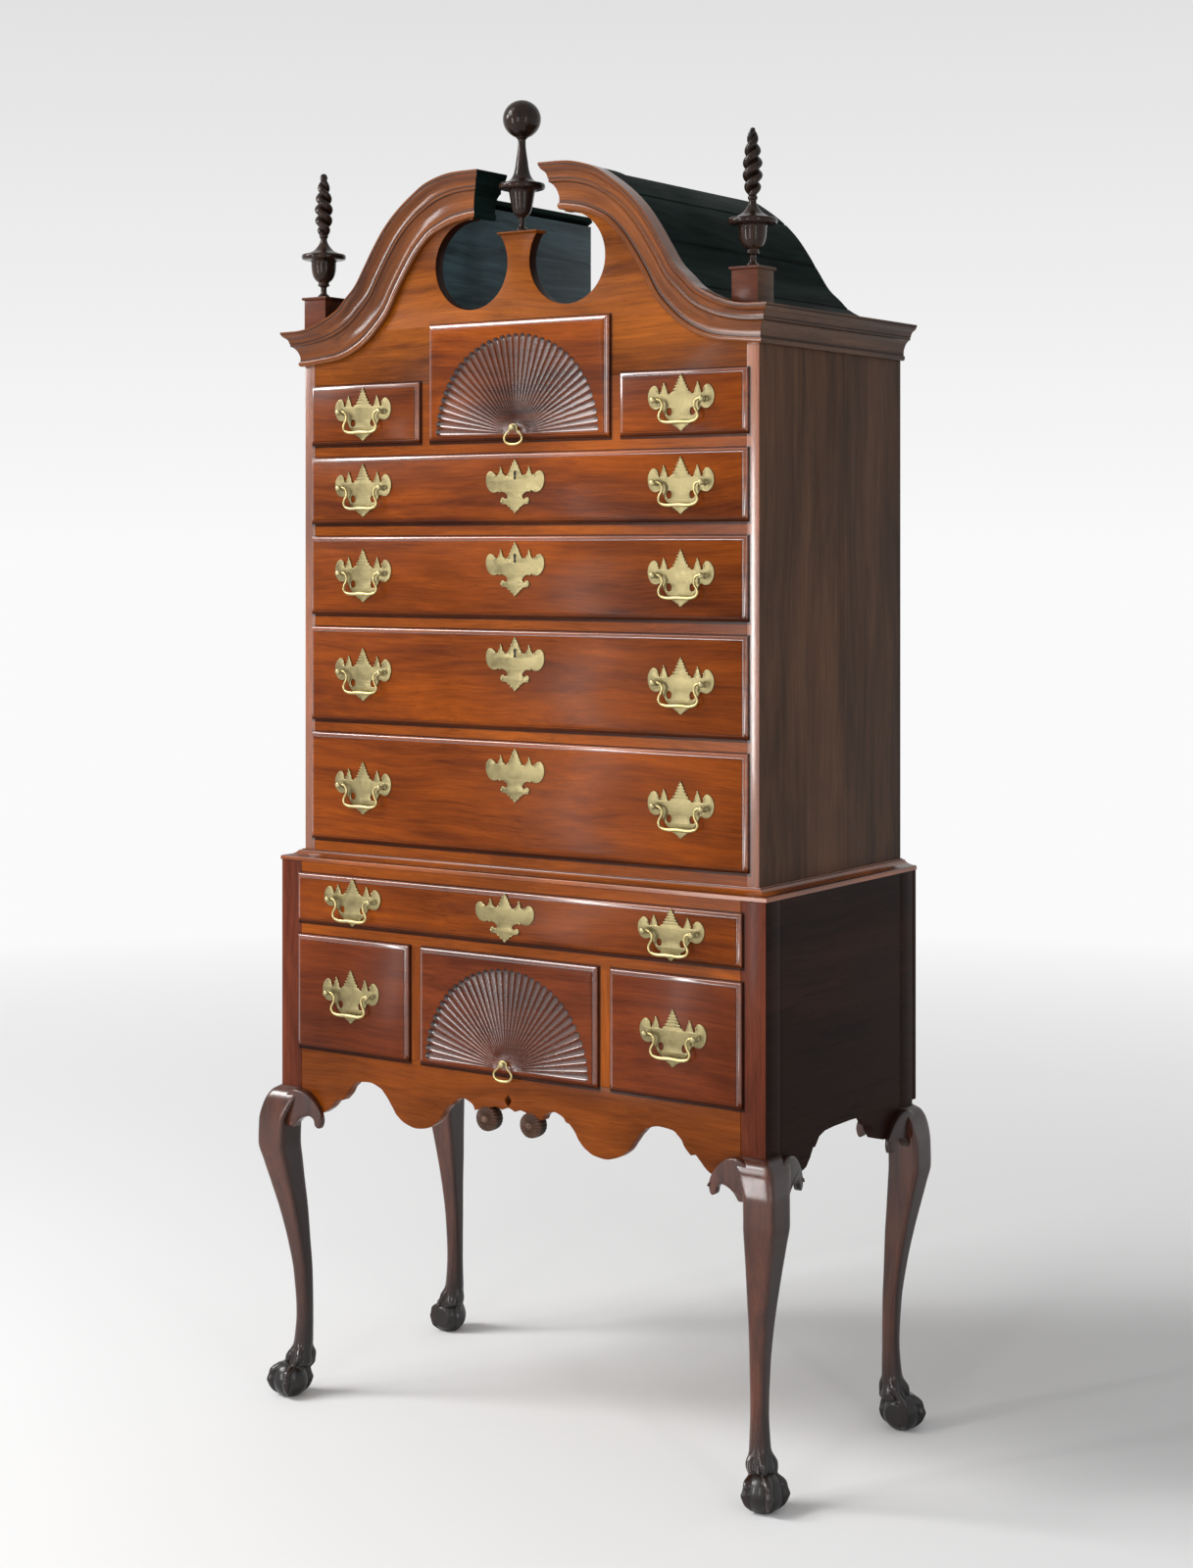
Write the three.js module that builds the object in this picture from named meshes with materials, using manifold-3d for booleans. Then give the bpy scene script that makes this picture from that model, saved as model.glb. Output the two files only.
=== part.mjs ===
// A bonnet-top highboy: lower case on cabriole legs, upper case with a swan-neck pediment.
// Millimetres. X runs to the right, Y to the back and Z up, so the drawers open towards -Y.
import * as THREE from 'three';
import { mergeVertices } from 'three/addons/utils/BufferGeometryUtils.js';
import Module from 'manifold-3d';

const wasm = await Module();
wasm.setup();

// Overall sizes of the two cases
const lowerWidth = 965;
const lowerDepth = 486;
const lowerTop = 920;
const caseStep = 29;
const frontStep = 28;

// Clearances
const gap = 0.3;
const running = 1;
const overrun = 5;
const bite = 1;

// Boards shared by both cases
const backThick = 12;
const railShow = 20.4;
const railDepth = 60;
const runnerThick = 15;
const runnerWide = 24;
const guideHeight = 34;

// Lower case
const postSize = 44.5;
const kneeDrop = 70;
const sideThick = 18;
const sideRise = 52;
const apronThick = 20;
const apronDrop = 110.5;
const apronRise = 66;
const lowerTopShow = 19;
const lowerLongHeight = 83.5;
const lowerRailShow = 21;
const lowerSmallHeight = 192.5;
const lowerCentreHalf = 177.5;
const lowerStileShow = 23.5;
const backDrop = 64;
const rosetteRadius = 20;
const rosettePlace = 44;
const rosetteRise = 35.5;
const rosetteProud = 4;
const piercingWide = 13;
const piercingHigh = 19;
const piercingRise = 70;

// Upper case
const upperSideThick = 21.5;
const bottomRail = 37;
const bottomBoard = 14;
const longHeights = [183, 160, 133, 114];
const smallHeight = 102;
const fanRise = 93;
const upperCentreHalf = 180.5;
const upperStileShow = 20.5;
const topBoard = 12;
const friezeHeight = 35;

// Crown moulding, pediment and bonnet
const corniceRise = 58.5;
const corniceReach = 31;
const crestRise = 245.5;
const innerCrestRise = 230;
const neckEnd = 92;
const neckReturn = 52;
const pedimentThick = 20;
const holeRadius = 74;
const holeCentre = 96;
const holeRise = 95.1;
const middlePlinthHalf = 36.5;
const middlePlinthRise = 48.9;
const middleCap = 4;
const middleCapProud = 5;
const roofThick = 10;
const roofInset = 1.5;
const cheekPlace = 173;
const cheekThick = 9;

// Corner plinths and finials
const cornerPlinth = 47;
const cornerPlinthProud = 3;
const cornerPlinthRise = 60;
const cornerCapProud = 3.3;
const cornerCapThick = 5;
const sideFinialHeight = 214;
const sideFinialWidth = 76;
const flameWidth = 27;
const middleFinialHeight = 213;
const middleFinialWidth = 76;
const ballDiameter = 62;

// Legs
const kneeReach = 72;
const footBall = 31;
const footOut = 17;
const footFlat = 3;
const talonThick = 6;
const rearLean = 0.3;
const bracketLength = 52;
const bracketHeight = 66;
const bracketProud = 17;

// Waist moulding
const waistRise = 17.4;
const waistOverhang = 1.5;

// Drawers
const lipProud = 8;
const lipLap = 4;
const lipSlope = 6;
const frontThick = 20;
const drawerSide = 11;
const drawerBottom = 8;
const drawerBackGap = 8;
const sideRelief = 6;

// Fan carvings
const fanRadius = 157;
const fanBase = 14;
const fanHub = 30;
const fanFlutes = 36;

// Brasses
const plateWidth = 123;
const plateHeight = 90;
const plateThick = 1.6;
const escutcheonWidth = 116;
const escutcheonHeight = 88;
const escutcheonDrop = 10.5;
const lowEscutcheonDrop = 2;
const keyholeWide = 4;
const keyholeHigh = 14;
const keyholeRise = 18;
const lowBrassScale = 0.9;
const pullInset = 118;
const postSpacing = 89;
const postLift = 4;
const postRadius = 3.2;
const postHead = 5.4;
const postReach = 17;
const pinShare = 0.55;
const bailDrop = 35;
const bailThick = 2.3;
const bailSwell = 3.3;
const ringWide = 37;
const ringTall = 32;
const ringThick = 1.7;
const ringPostRise = 20;
const ringPostRadius = 3;
const ringPostHead = 4.8;
const ringPostReach = 13;

// Counts of facets
const legSides = 10;
const turnedSides = 12;
const ballSides = 10;
const holeSteps = 20;
const rodSides = 5;
const pegSides = 6;
const flameSides = 9;
const rosetteSides = 16;

// Places worked out from the sizes above
const halfLower = lowerWidth / 2;
const halfUpper = halfLower - caseStep;
const rear = lowerDepth / 2;
const lowerFront = -rear;
const upperFront = lowerFront + frontStep;
const backFace = rear - backThick;
const postHalf = postSize / 2;
const lowerInner = halfLower - postSize;
const upperInner = halfUpper - upperSideThick;
const postBack = backFace - gap;
const rearPostFront = postBack - postSize;
const lowerLongFoot = lowerTop - lowerTopShow - lowerLongHeight;
const lowerSmallFoot = lowerLongFoot - lowerRailShow - lowerSmallHeight;
const apronFoot = lowerSmallFoot - apronDrop;
const kneeHeight = lowerSmallFoot - kneeDrop;
const lowerBackFoot = lowerSmallFoot - backDrop;
const smallFoot = bottomRail + longHeights.reduce((sum, height) => sum + height + railShow, 0);
const corniceFoot = smallFoot + smallHeight + friezeHeight;
const corniceTop = corniceFoot + corniceRise;
const fanHeight = smallHeight + fanRise;
const holeHeight = smallFoot + fanHeight + holeRise;
const middlePlinthTop = holeHeight + middlePlinthRise;

// Woods, paint and brass
const mahogany = { color: 0x8a4520, roughness: 0.35, metalness: 0 };
const darkMahogany = { color: 0x4d2c1e, roughness: 0.4, metalness: 0 };
const turnedWood = { color: 0x33241c, roughness: 0.35, metalness: 0 };
const bonnetPaint = { color: 0x1c2724, roughness: 0.5, metalness: 0 };
const pine = { color: 0xa87b4a, roughness: 0.8, metalness: 0 };
const brass = { color: 0xc8b677, roughness: 0.3, metalness: 0.9 };

const highboy = new THREE.Group();
const lowerCase = new THREE.Group();
const upperCase = new THREE.Group();
upperCase.position.z = lowerTop + gap;
highboy.add(lowerCase, upperCase);

// Turns a closed geometry into a solid that can be joined and cut.
function solid(geometry) {
  const bare = geometry.clone();
  bare.deleteAttribute('normal');
  bare.deleteAttribute('uv');
  const merged = mergeVertices(bare);
  const found = merged.index.array;
  const kept = [];
  for (let i = 0; i < found.length; i += 3) {
    const [a, b, c] = [found[i], found[i + 1], found[i + 2]];
    if (a !== b && b !== c && c !== a) kept.push(a, b, c);
  }
  const mesh = new wasm.Mesh({
    numProp: 3,
    vertProperties: new Float32Array(merged.attributes.position.array),
    triVerts: new Uint32Array(kept),
  });
  return new wasm.Manifold(mesh);
}

// Turns a solid back into a geometry, mirrored in X for the left hand.
function geometryOf(body, side) {
  const mesh = body.getMesh();
  const stride = mesh.numProp;
  const count = mesh.vertProperties.length / stride;
  const position = new Float32Array(count * 3);
  for (let i = 0; i < count; i += 1) {
    position[i * 3] = side * mesh.vertProperties[i * stride];
    position[i * 3 + 1] = mesh.vertProperties[i * stride + 1];
    position[i * 3 + 2] = mesh.vertProperties[i * stride + 2];
  }
  const index = Array.from(mesh.triVerts);
  if (side < 0) index.reverse();
  const geometry = new THREE.BufferGeometry();
  geometry.setAttribute('position', new THREE.BufferAttribute(position, 3));
  geometry.setIndex(index);
  geometry.computeVertexNormals();
  return geometry;
}

// A board with its faces along the axes.
function board(x0, x1, y0, y1, z0, z1) {
  const geometry = new THREE.BoxGeometry(x1 - x0, y1 - y0, z1 - z0);
  geometry.translate((x0 + x1) / 2, (y0 + y1) / 2, (z0 + z1) / 2);
  return solid(geometry);
}

// An outline in X and Z carried along Y.
function cutAlongY(points, y0, y1) {
  const shape = new THREE.Shape(points.map(([x, z]) => new THREE.Vector2(x, z)));
  const geometry = new THREE.ExtrudeGeometry(shape, { depth: y1 - y0, bevelEnabled: false });
  geometry.rotateX(Math.PI / 2);
  geometry.translate(0, y1, 0);
  return solid(geometry);
}

// An outline in Y and Z carried along X.
function cutAlongX(points, x0, x1) {
  const shape = new THREE.Shape(points.map(([y, z]) => new THREE.Vector2(y, z)));
  const geometry = new THREE.ExtrudeGeometry(shape, { depth: x1 - x0, bevelEnabled: false });
  const alongY = new THREE.Vector3(0, 1, 0);
  const alongZ = new THREE.Vector3(0, 0, 1);
  const alongX = new THREE.Vector3(1, 0, 0);
  geometry.applyMatrix4(new THREE.Matrix4().makeBasis(alongY, alongZ, alongX));
  geometry.translate(x0, 0, 0);
  return solid(geometry);
}

// Six times the volume inside a skin; negative where its faces look inwards.
function signedVolume(points, index) {
  let sum = 0;
  for (let i = 0; i < index.length; i += 3) {
    const [a, b, c] = [points[index[i]], points[index[i + 1]], points[index[i + 2]]];
    sum += a.dot(new THREE.Vector3().crossVectors(b, c));
  }
  return sum;
}

// Triangles that close a flat ring.
function capOf(ring, start) {
  const normal = new THREE.Vector3();
  ring.forEach((point, i) => {
    const next = ring[(i + 1) % ring.length];
    const arm = new THREE.Vector3().subVectors(point, ring[0]);
    normal.add(arm.cross(new THREE.Vector3().subVectors(next, ring[0])));
  });
  normal.normalize();
  const across = new THREE.Vector3(normal.y, normal.z, normal.x).cross(normal).normalize();
  const along = new THREE.Vector3().crossVectors(normal, across);
  const flat = ring.map((point) => new THREE.Vector2(point.dot(across), point.dot(along)));
  return THREE.ShapeUtils.triangulateShape(flat, []).map((face) => face.map((i) => start + i));
}

// A skin over rings with equal numbers of points, closed by a cap at each end or into a loop.
function skin(rings, loop = false) {
  const sides = rings[0].length;
  const points = rings.flat();
  const index = [];
  const bands = loop ? rings.length : rings.length - 1;
  for (let i = 0; i < bands; i += 1) {
    const here = i * sides;
    const next = ((i + 1) % rings.length) * sides;
    for (let j = 0; j < sides; j += 1) {
      const k = (j + 1) % sides;
      index.push(here + j, here + k, next + k);
      index.push(here + j, next + k, next + j);
    }
  }
  if (!loop) {
    const last = (rings.length - 1) * sides;
    for (const [a, b, c] of capOf(rings[0], 0)) index.push(a, c, b);
    for (const [a, b, c] of capOf(rings[rings.length - 1], last)) index.push(a, b, c);
  }
  if (signedVolume(points, index) < 0) index.reverse();
  const geometry = new THREE.BufferGeometry().setFromPoints(points);
  geometry.setIndex(index);
  return solid(geometry);
}

// A round rod along a path in one plane; each point has its own radius.
function rod(path, radii, planeNormal, loop = false) {
  const count = path.length;
  const rings = path.map((point, i) => {
    const before = loop ? path[(i + count - 1) % count] : path[Math.max(i - 1, 0)];
    const after = loop ? path[(i + 1) % count] : path[Math.min(i + 1, count - 1)];
    const tangent = new THREE.Vector3().subVectors(after, before).normalize();
    const up = new THREE.Vector3().crossVectors(tangent, planeNormal);
    return Array.from({ length: rodSides }, (_, k) => {
      const angle = (2 * Math.PI * k) / rodSides;
      return point.clone()
        .addScaledVector(planeNormal, radii[i] * Math.cos(angle))
        .addScaledVector(up, radii[i] * Math.sin(angle));
    });
  });
  return skin(rings, loop);
}

// A turning about a vertical axis from shares of its height and of its widest radius.
function turning(profileShares, height, radius) {
  const points = profileShares.map(([up, out]) => new THREE.Vector2(radius * out, height * up));
  const geometry = new THREE.LatheGeometry(points, turnedSides);
  geometry.rotateX(Math.PI / 2);
  return solid(geometry);
}

function ball(radius, centre) {
  const geometry = new THREE.SphereGeometry(radius, ballSides, Math.round(ballSides * 0.6));
  geometry.rotateX(Math.PI / 2);
  geometry.translate(centre.x, centre.y, centre.z);
  return solid(geometry);
}

// The whole outline from its right half, which runs from the top centre to the bottom centre.
function bothHalves(half) {
  const left = half.filter(([x]) => x > 0).map(([x, z]) => [-x, z]);
  return [...half, ...left.reverse()];
}

function addPiece(parent, name, body, look, side = 1) {
  const mesh = new THREE.Mesh(geometryOf(body, side), new THREE.MeshStandardMaterial(look));
  mesh.name = name;
  parent.add(mesh);
  return mesh;
}

function addPair(parent, name, body, look) {
  return [
    addPiece(parent, `${name}_left`, body, look, -1),
    addPiece(parent, `${name}_right`, body, look, 1),
  ];
}

// Cabriole leg. Each row holds a height as a share of the way from the ankle to the knee, the outer
// and the inner reach along the diagonal as shares of the knee's reach, and how square the section
// is. The ankle's height is a share of the foot's radius.
const legShares = [
  [1, 0.43, -0.43, 14],
  [0.983, 0.67, -0.43, 8],
  [0.939, 0.87, -0.27, 7],
  [0.878, 0.98, -0.03, 6],
  [0.8, 0.995, -0.013, 6],
  [0.734, 0.87, -0.055, 5],
  [0.656, 0.7, -0.11, 4.5],
  [0.556, 0.49, -0.185, 3.8],
  [0.445, 0.3, -0.24, 3],
  [0.323, 0.155, -0.295, 2.4],
  [0.183, 0.095, -0.31, 2],
  [0.101, 0.135, -0.31, 2],
  [0.001, 0.28, -0.26, 2],
];
const ankleShare = 1.7;

// Knee bracket: outline from inside the knee to the scroll, as shares of its length and height.
const bracketShares = [
  [-0.45, -0.2],
  [-0.1, -0.03],
  [0.12, -0.03],
  [0.42, -0.1],
  [0.76, -0.34],
  [0.94, -0.56],
  [1, -0.8],
  [0.9, -0.97],
  [0.74, -0.92],
  [0.68, -0.76],
  [0.56, -0.69],
  [0.3, -0.72],
  [0.06, -0.84],
  [-0.1, -1],
  [-0.45, -1],
];

const talonRises = [66, 40, 16, -10, -52];
const talonShares = [0.9, 1.15, 0.85, 1.1, 0.4];
const talonSpread = 72;

function legSection(z, outer, inner, squareness, lean) {
  const reach = (outer - inner) / 2;
  const middle = (outer + inner) / 2 / Math.SQRT2;
  const half = reach / (Math.SQRT2 * 2 ** (-1 / squareness));
  return Array.from({ length: legSides }, (_, k) => {
    const angle = (2 * Math.PI * k) / legSides + Math.PI / 4;
    const [x, y] = [Math.cos(angle), Math.sin(angle)].map(
      (part) => Math.sign(part) * Math.abs(part) ** (2 / squareness),
    );
    return new THREE.Vector3(middle + half * x, lean * middle + half * y, z);
  });
}

// One talon lies over the ball in an upright plane at its own bearing.
function talon(bearing, centre) {
  const out = new THREE.Vector3(Math.cos(bearing), Math.sin(bearing), 0);
  const planeNormal = new THREE.Vector3(-Math.sin(bearing), Math.cos(bearing), 0);
  const path = talonRises.map((degrees) => {
    const rise = THREE.MathUtils.degToRad(degrees);
    const point = centre.clone().addScaledVector(out, footBall * Math.cos(rise));
    point.z += footBall * Math.sin(rise);
    return point;
  });
  return rod(path, talonShares.map((share) => share * talonThick), planeNormal);
}

function footOf(lean) {
  const out = footOut / Math.SQRT2;
  const centre = new THREE.Vector3(out, lean * out, footBall - footFlat);
  const forward = THREE.MathUtils.radToDeg(Math.atan2(lean, 1));
  const bearings = [forward, forward + talonSpread, forward - talonSpread, forward + 180];
  let foot = ball(footBall, centre);
  for (const bearing of bearings) {
    foot = foot.add(talon(THREE.MathUtils.degToRad(bearing), centre));
  }
  const beyond = kneeReach + footBall;
  return foot.intersect(board(-beyond, beyond, -beyond, beyond, 0, 3 * footBall));
}

// The bracket along X on the front face of the knee, thinner towards its scroll.
function kneeBracket() {
  const face = -postHalf - gap;
  const outline = bracketShares.map(([out, up]) => [
    -postHalf - out * bracketLength,
    kneeHeight + up * bracketHeight,
  ]);
  const block = cutAlongY(outline, face - bracketProud, face);
  const tip = -postHalf - bracketLength - overrun;
  const plan = [
    [tip, face - bracketProud / 2],
    [-postHalf, face - bracketProud],
    [-postHalf, face - bracketProud - overrun],
    [tip, face - bracketProud - overrun],
  ];
  const rings = [kneeHeight - bracketHeight - overrun, kneeHeight + overrun].map(
    (z) => plan.map(([x, y]) => new THREE.Vector3(x, y, z)),
  );
  return block.subtract(skin(rings));
}

// Built about the post's own axis, with the knee towards +X and the side that lean points to.
function leg(lean) {
  const away = Math.sign(lean);
  const beyond = kneeReach + overrun;
  const ankle = footBall * ankleShare;
  const rings = legShares.map(([up, outer, inner, squareness]) => {
    const z = ankle + (kneeHeight - ankle) * up;
    return legSection(z, kneeReach * outer, kneeReach * inner, squareness, lean);
  });
  const behind = [-away * postHalf, -away * beyond].sort((a, b) => a - b);
  const knee = skin(rings)
    .subtract(board(-beyond, -postHalf, -beyond, beyond, apronFoot - overrun, kneeHeight + overrun))
    .subtract(board(-beyond, beyond, ...behind, apronFoot - overrun, kneeHeight + overrun));
  const post = board(-postHalf, postHalf, -postHalf, postHalf, kneeHeight - overrun, lowerTop);
  const flat = kneeBracket();
  const beside = flat.mirror([1, 1, 0]);
  let body = post.add(knee).add(footOf(lean));
  if (away < 0) return body.add(flat).add(beside);
  const hidden = flat.mirror([0, 1, 0]).translate([0, -gap - bracketProud, 0]);
  body = body.add(hidden).add(beside.mirror([0, 1, 0]));
  return body;
}

function addLegs() {
  const places = [
    ['leg_front', -1, lowerFront + postHalf],
    ['leg_rear', rearLean, postBack - postHalf],
  ];
  for (const [name, lean, y] of places) {
    const [left, right] = addPair(lowerCase, name, leg(lean), darkMahogany);
    right.position.set(halfLower - postHalf, y, 0);
    left.position.set(postHalf - halfLower, y, 0);
  }
}

// Scalloped apron: right half from the centre to the post, as shares of the half length and rise.
const apronShares = [
  [0, 0.894],
  [0.016, 0.856],
  [0.03, 0.811],
  [0.046, 0.856],
  [0.059, 0.871],
  [0.153, 0.705],
  [0.176, 0.886],
  [0.208, 0.955],
  [0.24, 0.886],
  [0.26, 0.75],
  [0.276, 0.72],
  [0.299, 0.553],
  [0.32, 0.341],
  [0.356, 0.144],
  [0.393, 0.045],
  [0.432, 0.015],
  [0.475, 0.076],
  [0.516, 0.22],
  [0.551, 0.492],
  [0.583, 0.75],
  [0.617, 0.917],
  [0.663, 0.992],
  [0.704, 0.97],
  [0.743, 0.841],
  [0.772, 0.583],
  [0.795, 0.432],
  [0.816, 0.462],
  [0.834, 0.341],
  [0.864, 0.144],
  [0.896, 0.015],
  [1, 0],
];

const petalShare = 0.88;

function rosette() {
  const ring = (share, y) => Array.from({ length: rosetteSides }, (_, k) => {
    const angle = (2 * Math.PI * k) / rosetteSides;
    const petal = k % 2 ? 1 : petalShare;
    const out = rosetteRadius * share * petal;
    return new THREE.Vector3(out * Math.cos(angle), y, out * Math.sin(angle));
  });
  const face = lowerFront - rosetteProud;
  const rings = [
    ring(1, lowerFront + apronThick),
    ring(1, face + rosetteProud / 4),
    ring(3 / 4, face - rosetteProud / 4),
    ring(1 / 3, face + rosetteProud / 2),
    ring(1 / 5, face - rosetteProud / 4),
  ];
  return skin(rings).translate([rosettePlace, 0, apronFoot + rosetteRise]);
}

function addApron() {
  const half = lowerInner - gap;
  const top = lowerSmallFoot + lipLap;
  const edge = apronShares.map(([along, up]) => [half * along, apronFoot + apronRise * up]);
  const outline = bothHalves([[0, top], [half, top], ...edge.reverse()]);
  const middle = apronFoot + piercingRise;
  const diamond = bothHalves([
    [0, middle + piercingHigh / 2],
    [piercingWide / 2, middle],
    [0, middle - piercingHigh / 2],
  ]);
  const drop = rosette();
  const body = cutAlongY(outline, lowerFront, lowerFront + apronThick)
    .add(drop)
    .add(drop.mirror([1, 0, 0]))
    .subtract(cutAlongY(diamond, lowerFront - overrun, lowerFront + apronThick + overrun));
  addPiece(lowerCase, 'front_apron', body, mahogany);
}

// Scalloped side board: half of its lower edge, as shares of the half length and of the rise.
const sideEdgeShares = [
  [0, 1],
  [0.15, 1],
  [0.3, 0.97],
  [0.39, 0.86],
  [0.455, 0.6],
  [0.49, 0.6],
  [0.535, 0.35],
  [0.6, 0.1],
  [0.7, 0],
  [1, 0],
];

function runnerAt(z, inner, front, back, guideInner, guideFront, guideBack) {
  const strip = board(inner - runnerWide, inner - gap, front, back, z - runnerThick, z);
  const guideTop = z + guideHeight - runnerThick;
  const guide = board(inner, guideInner, guideFront, guideBack, z - runnerThick, guideTop);
  const bridgeFront = Math.max(front, guideFront);
  const bridge = board(inner - overrun, inner + bite, bridgeFront, guideBack, z - runnerThick, z);
  return strip.add(guide).add(bridge);
}

function addLowerSides() {
  const front = lowerFront + postSize + gap;
  const back = rearPostFront - gap;
  const middle = (front + back) / 2;
  const half = (back - front) / 2;
  const edge = sideEdgeShares.map(([along, up]) => [half * along, apronFoot + sideRise * up]);
  const outline = bothHalves([[0, lowerTop], [half, lowerTop], ...edge.reverse()])
    .map(([y, z]) => [middle + y, z]);
  const face = halfLower - sideThick;
  const skinBoard = cutAlongX(outline, face, halfLower);
  const end = backFace - gap;
  const behindApron = lowerFront + apronThick + gap;
  const behindRail = lowerFront + railDepth + gap;
  const levels = [
    [lowerSmallFoot + lipLap, behindApron],
    [lowerLongFoot + lipLap, behindRail],
  ];
  let body = skinBoard;
  for (const [z, start] of levels) {
    body = body.add(runnerAt(z, lowerInner, start, end, face + bite, front, back));
  }
  addPair(lowerCase, 'lower_side', body, darkMahogany);
}

function addLowerRails() {
  const half = lowerInner - gap;
  const back = lowerFront + railDepth;
  const topRail = board(-half, half, lowerFront, back, lowerTop - lowerTopShow - lipLap, lowerTop);
  addPiece(lowerCase, 'lower_top_rail', topRail, mahogany);
  const foot = lowerLongFoot - lowerRailShow - lipLap;
  const middleRail = board(-half, half, lowerFront, back, foot, lowerLongFoot + lipLap);
  addPiece(lowerCase, 'lower_middle_rail', middleRail, mahogany);
  const width = halfLower - gap;
  const backBoard = board(-width, width, backFace, rear, lowerBackFoot, lowerTop);
  addPiece(lowerCase, 'lower_back', backBoard, pine);
}

// Partition between two small drawers: stile, guide and the runner that both drawers ride on.
function addLowerDividers() {
  const x0 = lowerCentreHalf - lipLap;
  const x1 = lowerCentreHalf + lowerStileShow + lipLap;
  const level = lowerSmallFoot + lipLap;
  const foot = level - runnerThick;
  const head = foot + guideHeight;
  const profile = [
    [x0 - runnerWide, foot],
    [x1 + runnerWide, foot],
    [x1 + runnerWide, level],
    [x1, level],
    [x1, head],
    [x0, head],
    [x0, level],
    [x0 - runnerWide, level],
  ];
  const top = lowerLongFoot - lowerRailShow - lipLap - gap;
  const stile = board(x0, x1, lowerFront, lowerFront + railDepth, level + gap, top);
  const rail = cutAlongY(profile, lowerFront + apronThick + gap, backFace - gap);
  addPair(lowerCase, 'lower_divider', stile.add(rail), mahogany);
}

// Mouldings: reach and rise of each corner of the profile, as shares.
const waistShares = [
  [1, 0],
  [1, 0.3],
  [0.93, 0.42],
  [0.82, 0.42],
  [0.6, 0.5],
  [0.36, 0.68],
  [0.25, 0.9],
  [0.13, 0.9],
  [0.13, 1],
];
const crownShares = [
  [0.13, 0],
  [0.26, 0.06],
  [0.26, 0.14],
  [0.19, 0.19],
  [0.25, 0.36],
  [0.38, 0.5],
  [0.6, 0.61],
  [0.6, 0.68],
  [0.75, 0.79],
  [0.97, 0.9],
  [1, 1],
];

// A moulding mitred round the front corners of the upper case; its ends lie on the back plane.
function addWaistMoulding() {
  const reach = halfLower + waistOverhang - halfUpper;
  const frontReach = upperFront - lowerFront + waistOverhang;
  const profile = [
    [gap / reach, 0],
    ...waistShares,
    [gap / reach, 1],
  ];
  const stations = [[-1, 0], [-1, 1], [1, 1], [1, 0]];
  const rings = stations.map(([side, front]) => profile.map(([out, up]) => new THREE.Vector3(
    side * (halfUpper + reach * out),
    front ? upperFront - frontReach * out : rear,
    waistRise * up,
  )));
  addPiece(upperCase, 'waist_moulding', skin(rings), mahogany);
}

// Swan neck: outer edge and inner edge of the moulding. Across, each is a share of the way from the
// neck's end to the corner of the case, and upwards a share of that edge's own rise.
const neckShares = [
  [1, 0, 1, 0],
  [0.935, 0.011, 0.91, 0.013],
  [0.813, 0.072, 0.747, 0.048],
  [0.722, 0.149, 0.617, 0.148],
  [0.692, 0.194, 0.55, 0.235],
  [0.633, 0.275, 0.492, 0.331],
  [0.573, 0.406, 0.418, 0.527],
  [0.515, 0.54, 0.36, 0.666],
  [0.456, 0.658, 0.313, 0.766],
  [0.397, 0.748, 0.266, 0.844],
  [0.339, 0.819, 0.221, 0.9],
  [0.282, 0.878, 0.174, 0.933],
  [0.224, 0.931, 0.136, 0.955],
  [0.166, 0.964, 0.105, 0.97],
  [0.083, 0.992, 0.05, 0.987],
  [0, 1, 0, 1],
];

function neckEdges() {
  const run = halfUpper - neckEnd;
  return neckShares.map(([outerX, outerZ, innerX, innerZ]) => ({
    outer: new THREE.Vector2(neckEnd + run * outerX, corniceTop + crestRise * outerZ),
    inner: new THREE.Vector2(neckEnd + run * innerX, corniceFoot + innerCrestRise * innerZ),
  }));
}

// The line that runs at one depth under the neck's outer edge.
function neckLine(depth) {
  return neckEdges().map(({ outer, inner }) => {
    const step = new THREE.Vector2().subVectors(inner, outer).setLength(depth);
    return [outer.x + step.x, outer.y + step.y];
  });
}

function crownRing(place) {
  const front = crownShares.map(([out, up]) => place(corniceReach * out, up));
  return [place(gap, 0), ...front, place(gap, 1)];
}

function addSwanNecks() {
  const edges = neckEdges();
  const last = edges.length - 1;
  const at = (pair, up) => new THREE.Vector2().lerpVectors(pair.inner, pair.outer, up);
  const rings = edges.map((pair, i) => crownRing((out, up) => {
    const point = at(pair, up);
    const mitre = [1, ...Array(last - 1).fill(0), -1][i];
    return new THREE.Vector3(point.x + mitre * out, upperFront - out, point.y);
  }));
  rings.push(crownRing((out, up) => {
    const point = at(edges[last], up);
    return new THREE.Vector3(point.x - out, upperFront + neckReturn, point.y);
  }));
  addPair(upperCase, 'swan_neck', skin(rings), mahogany);
}

function addCorniceReturns() {
  const rings = [0, 1].map((end) => crownRing((out, up) => {
    const y = end ? rear : upperFront - out + 2 * gap;
    return new THREE.Vector3(halfUpper + out, y, corniceFoot + corniceRise * up);
  }));
  addPair(upperCase, 'cornice_return', skin(rings), darkMahogany);
}

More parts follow.
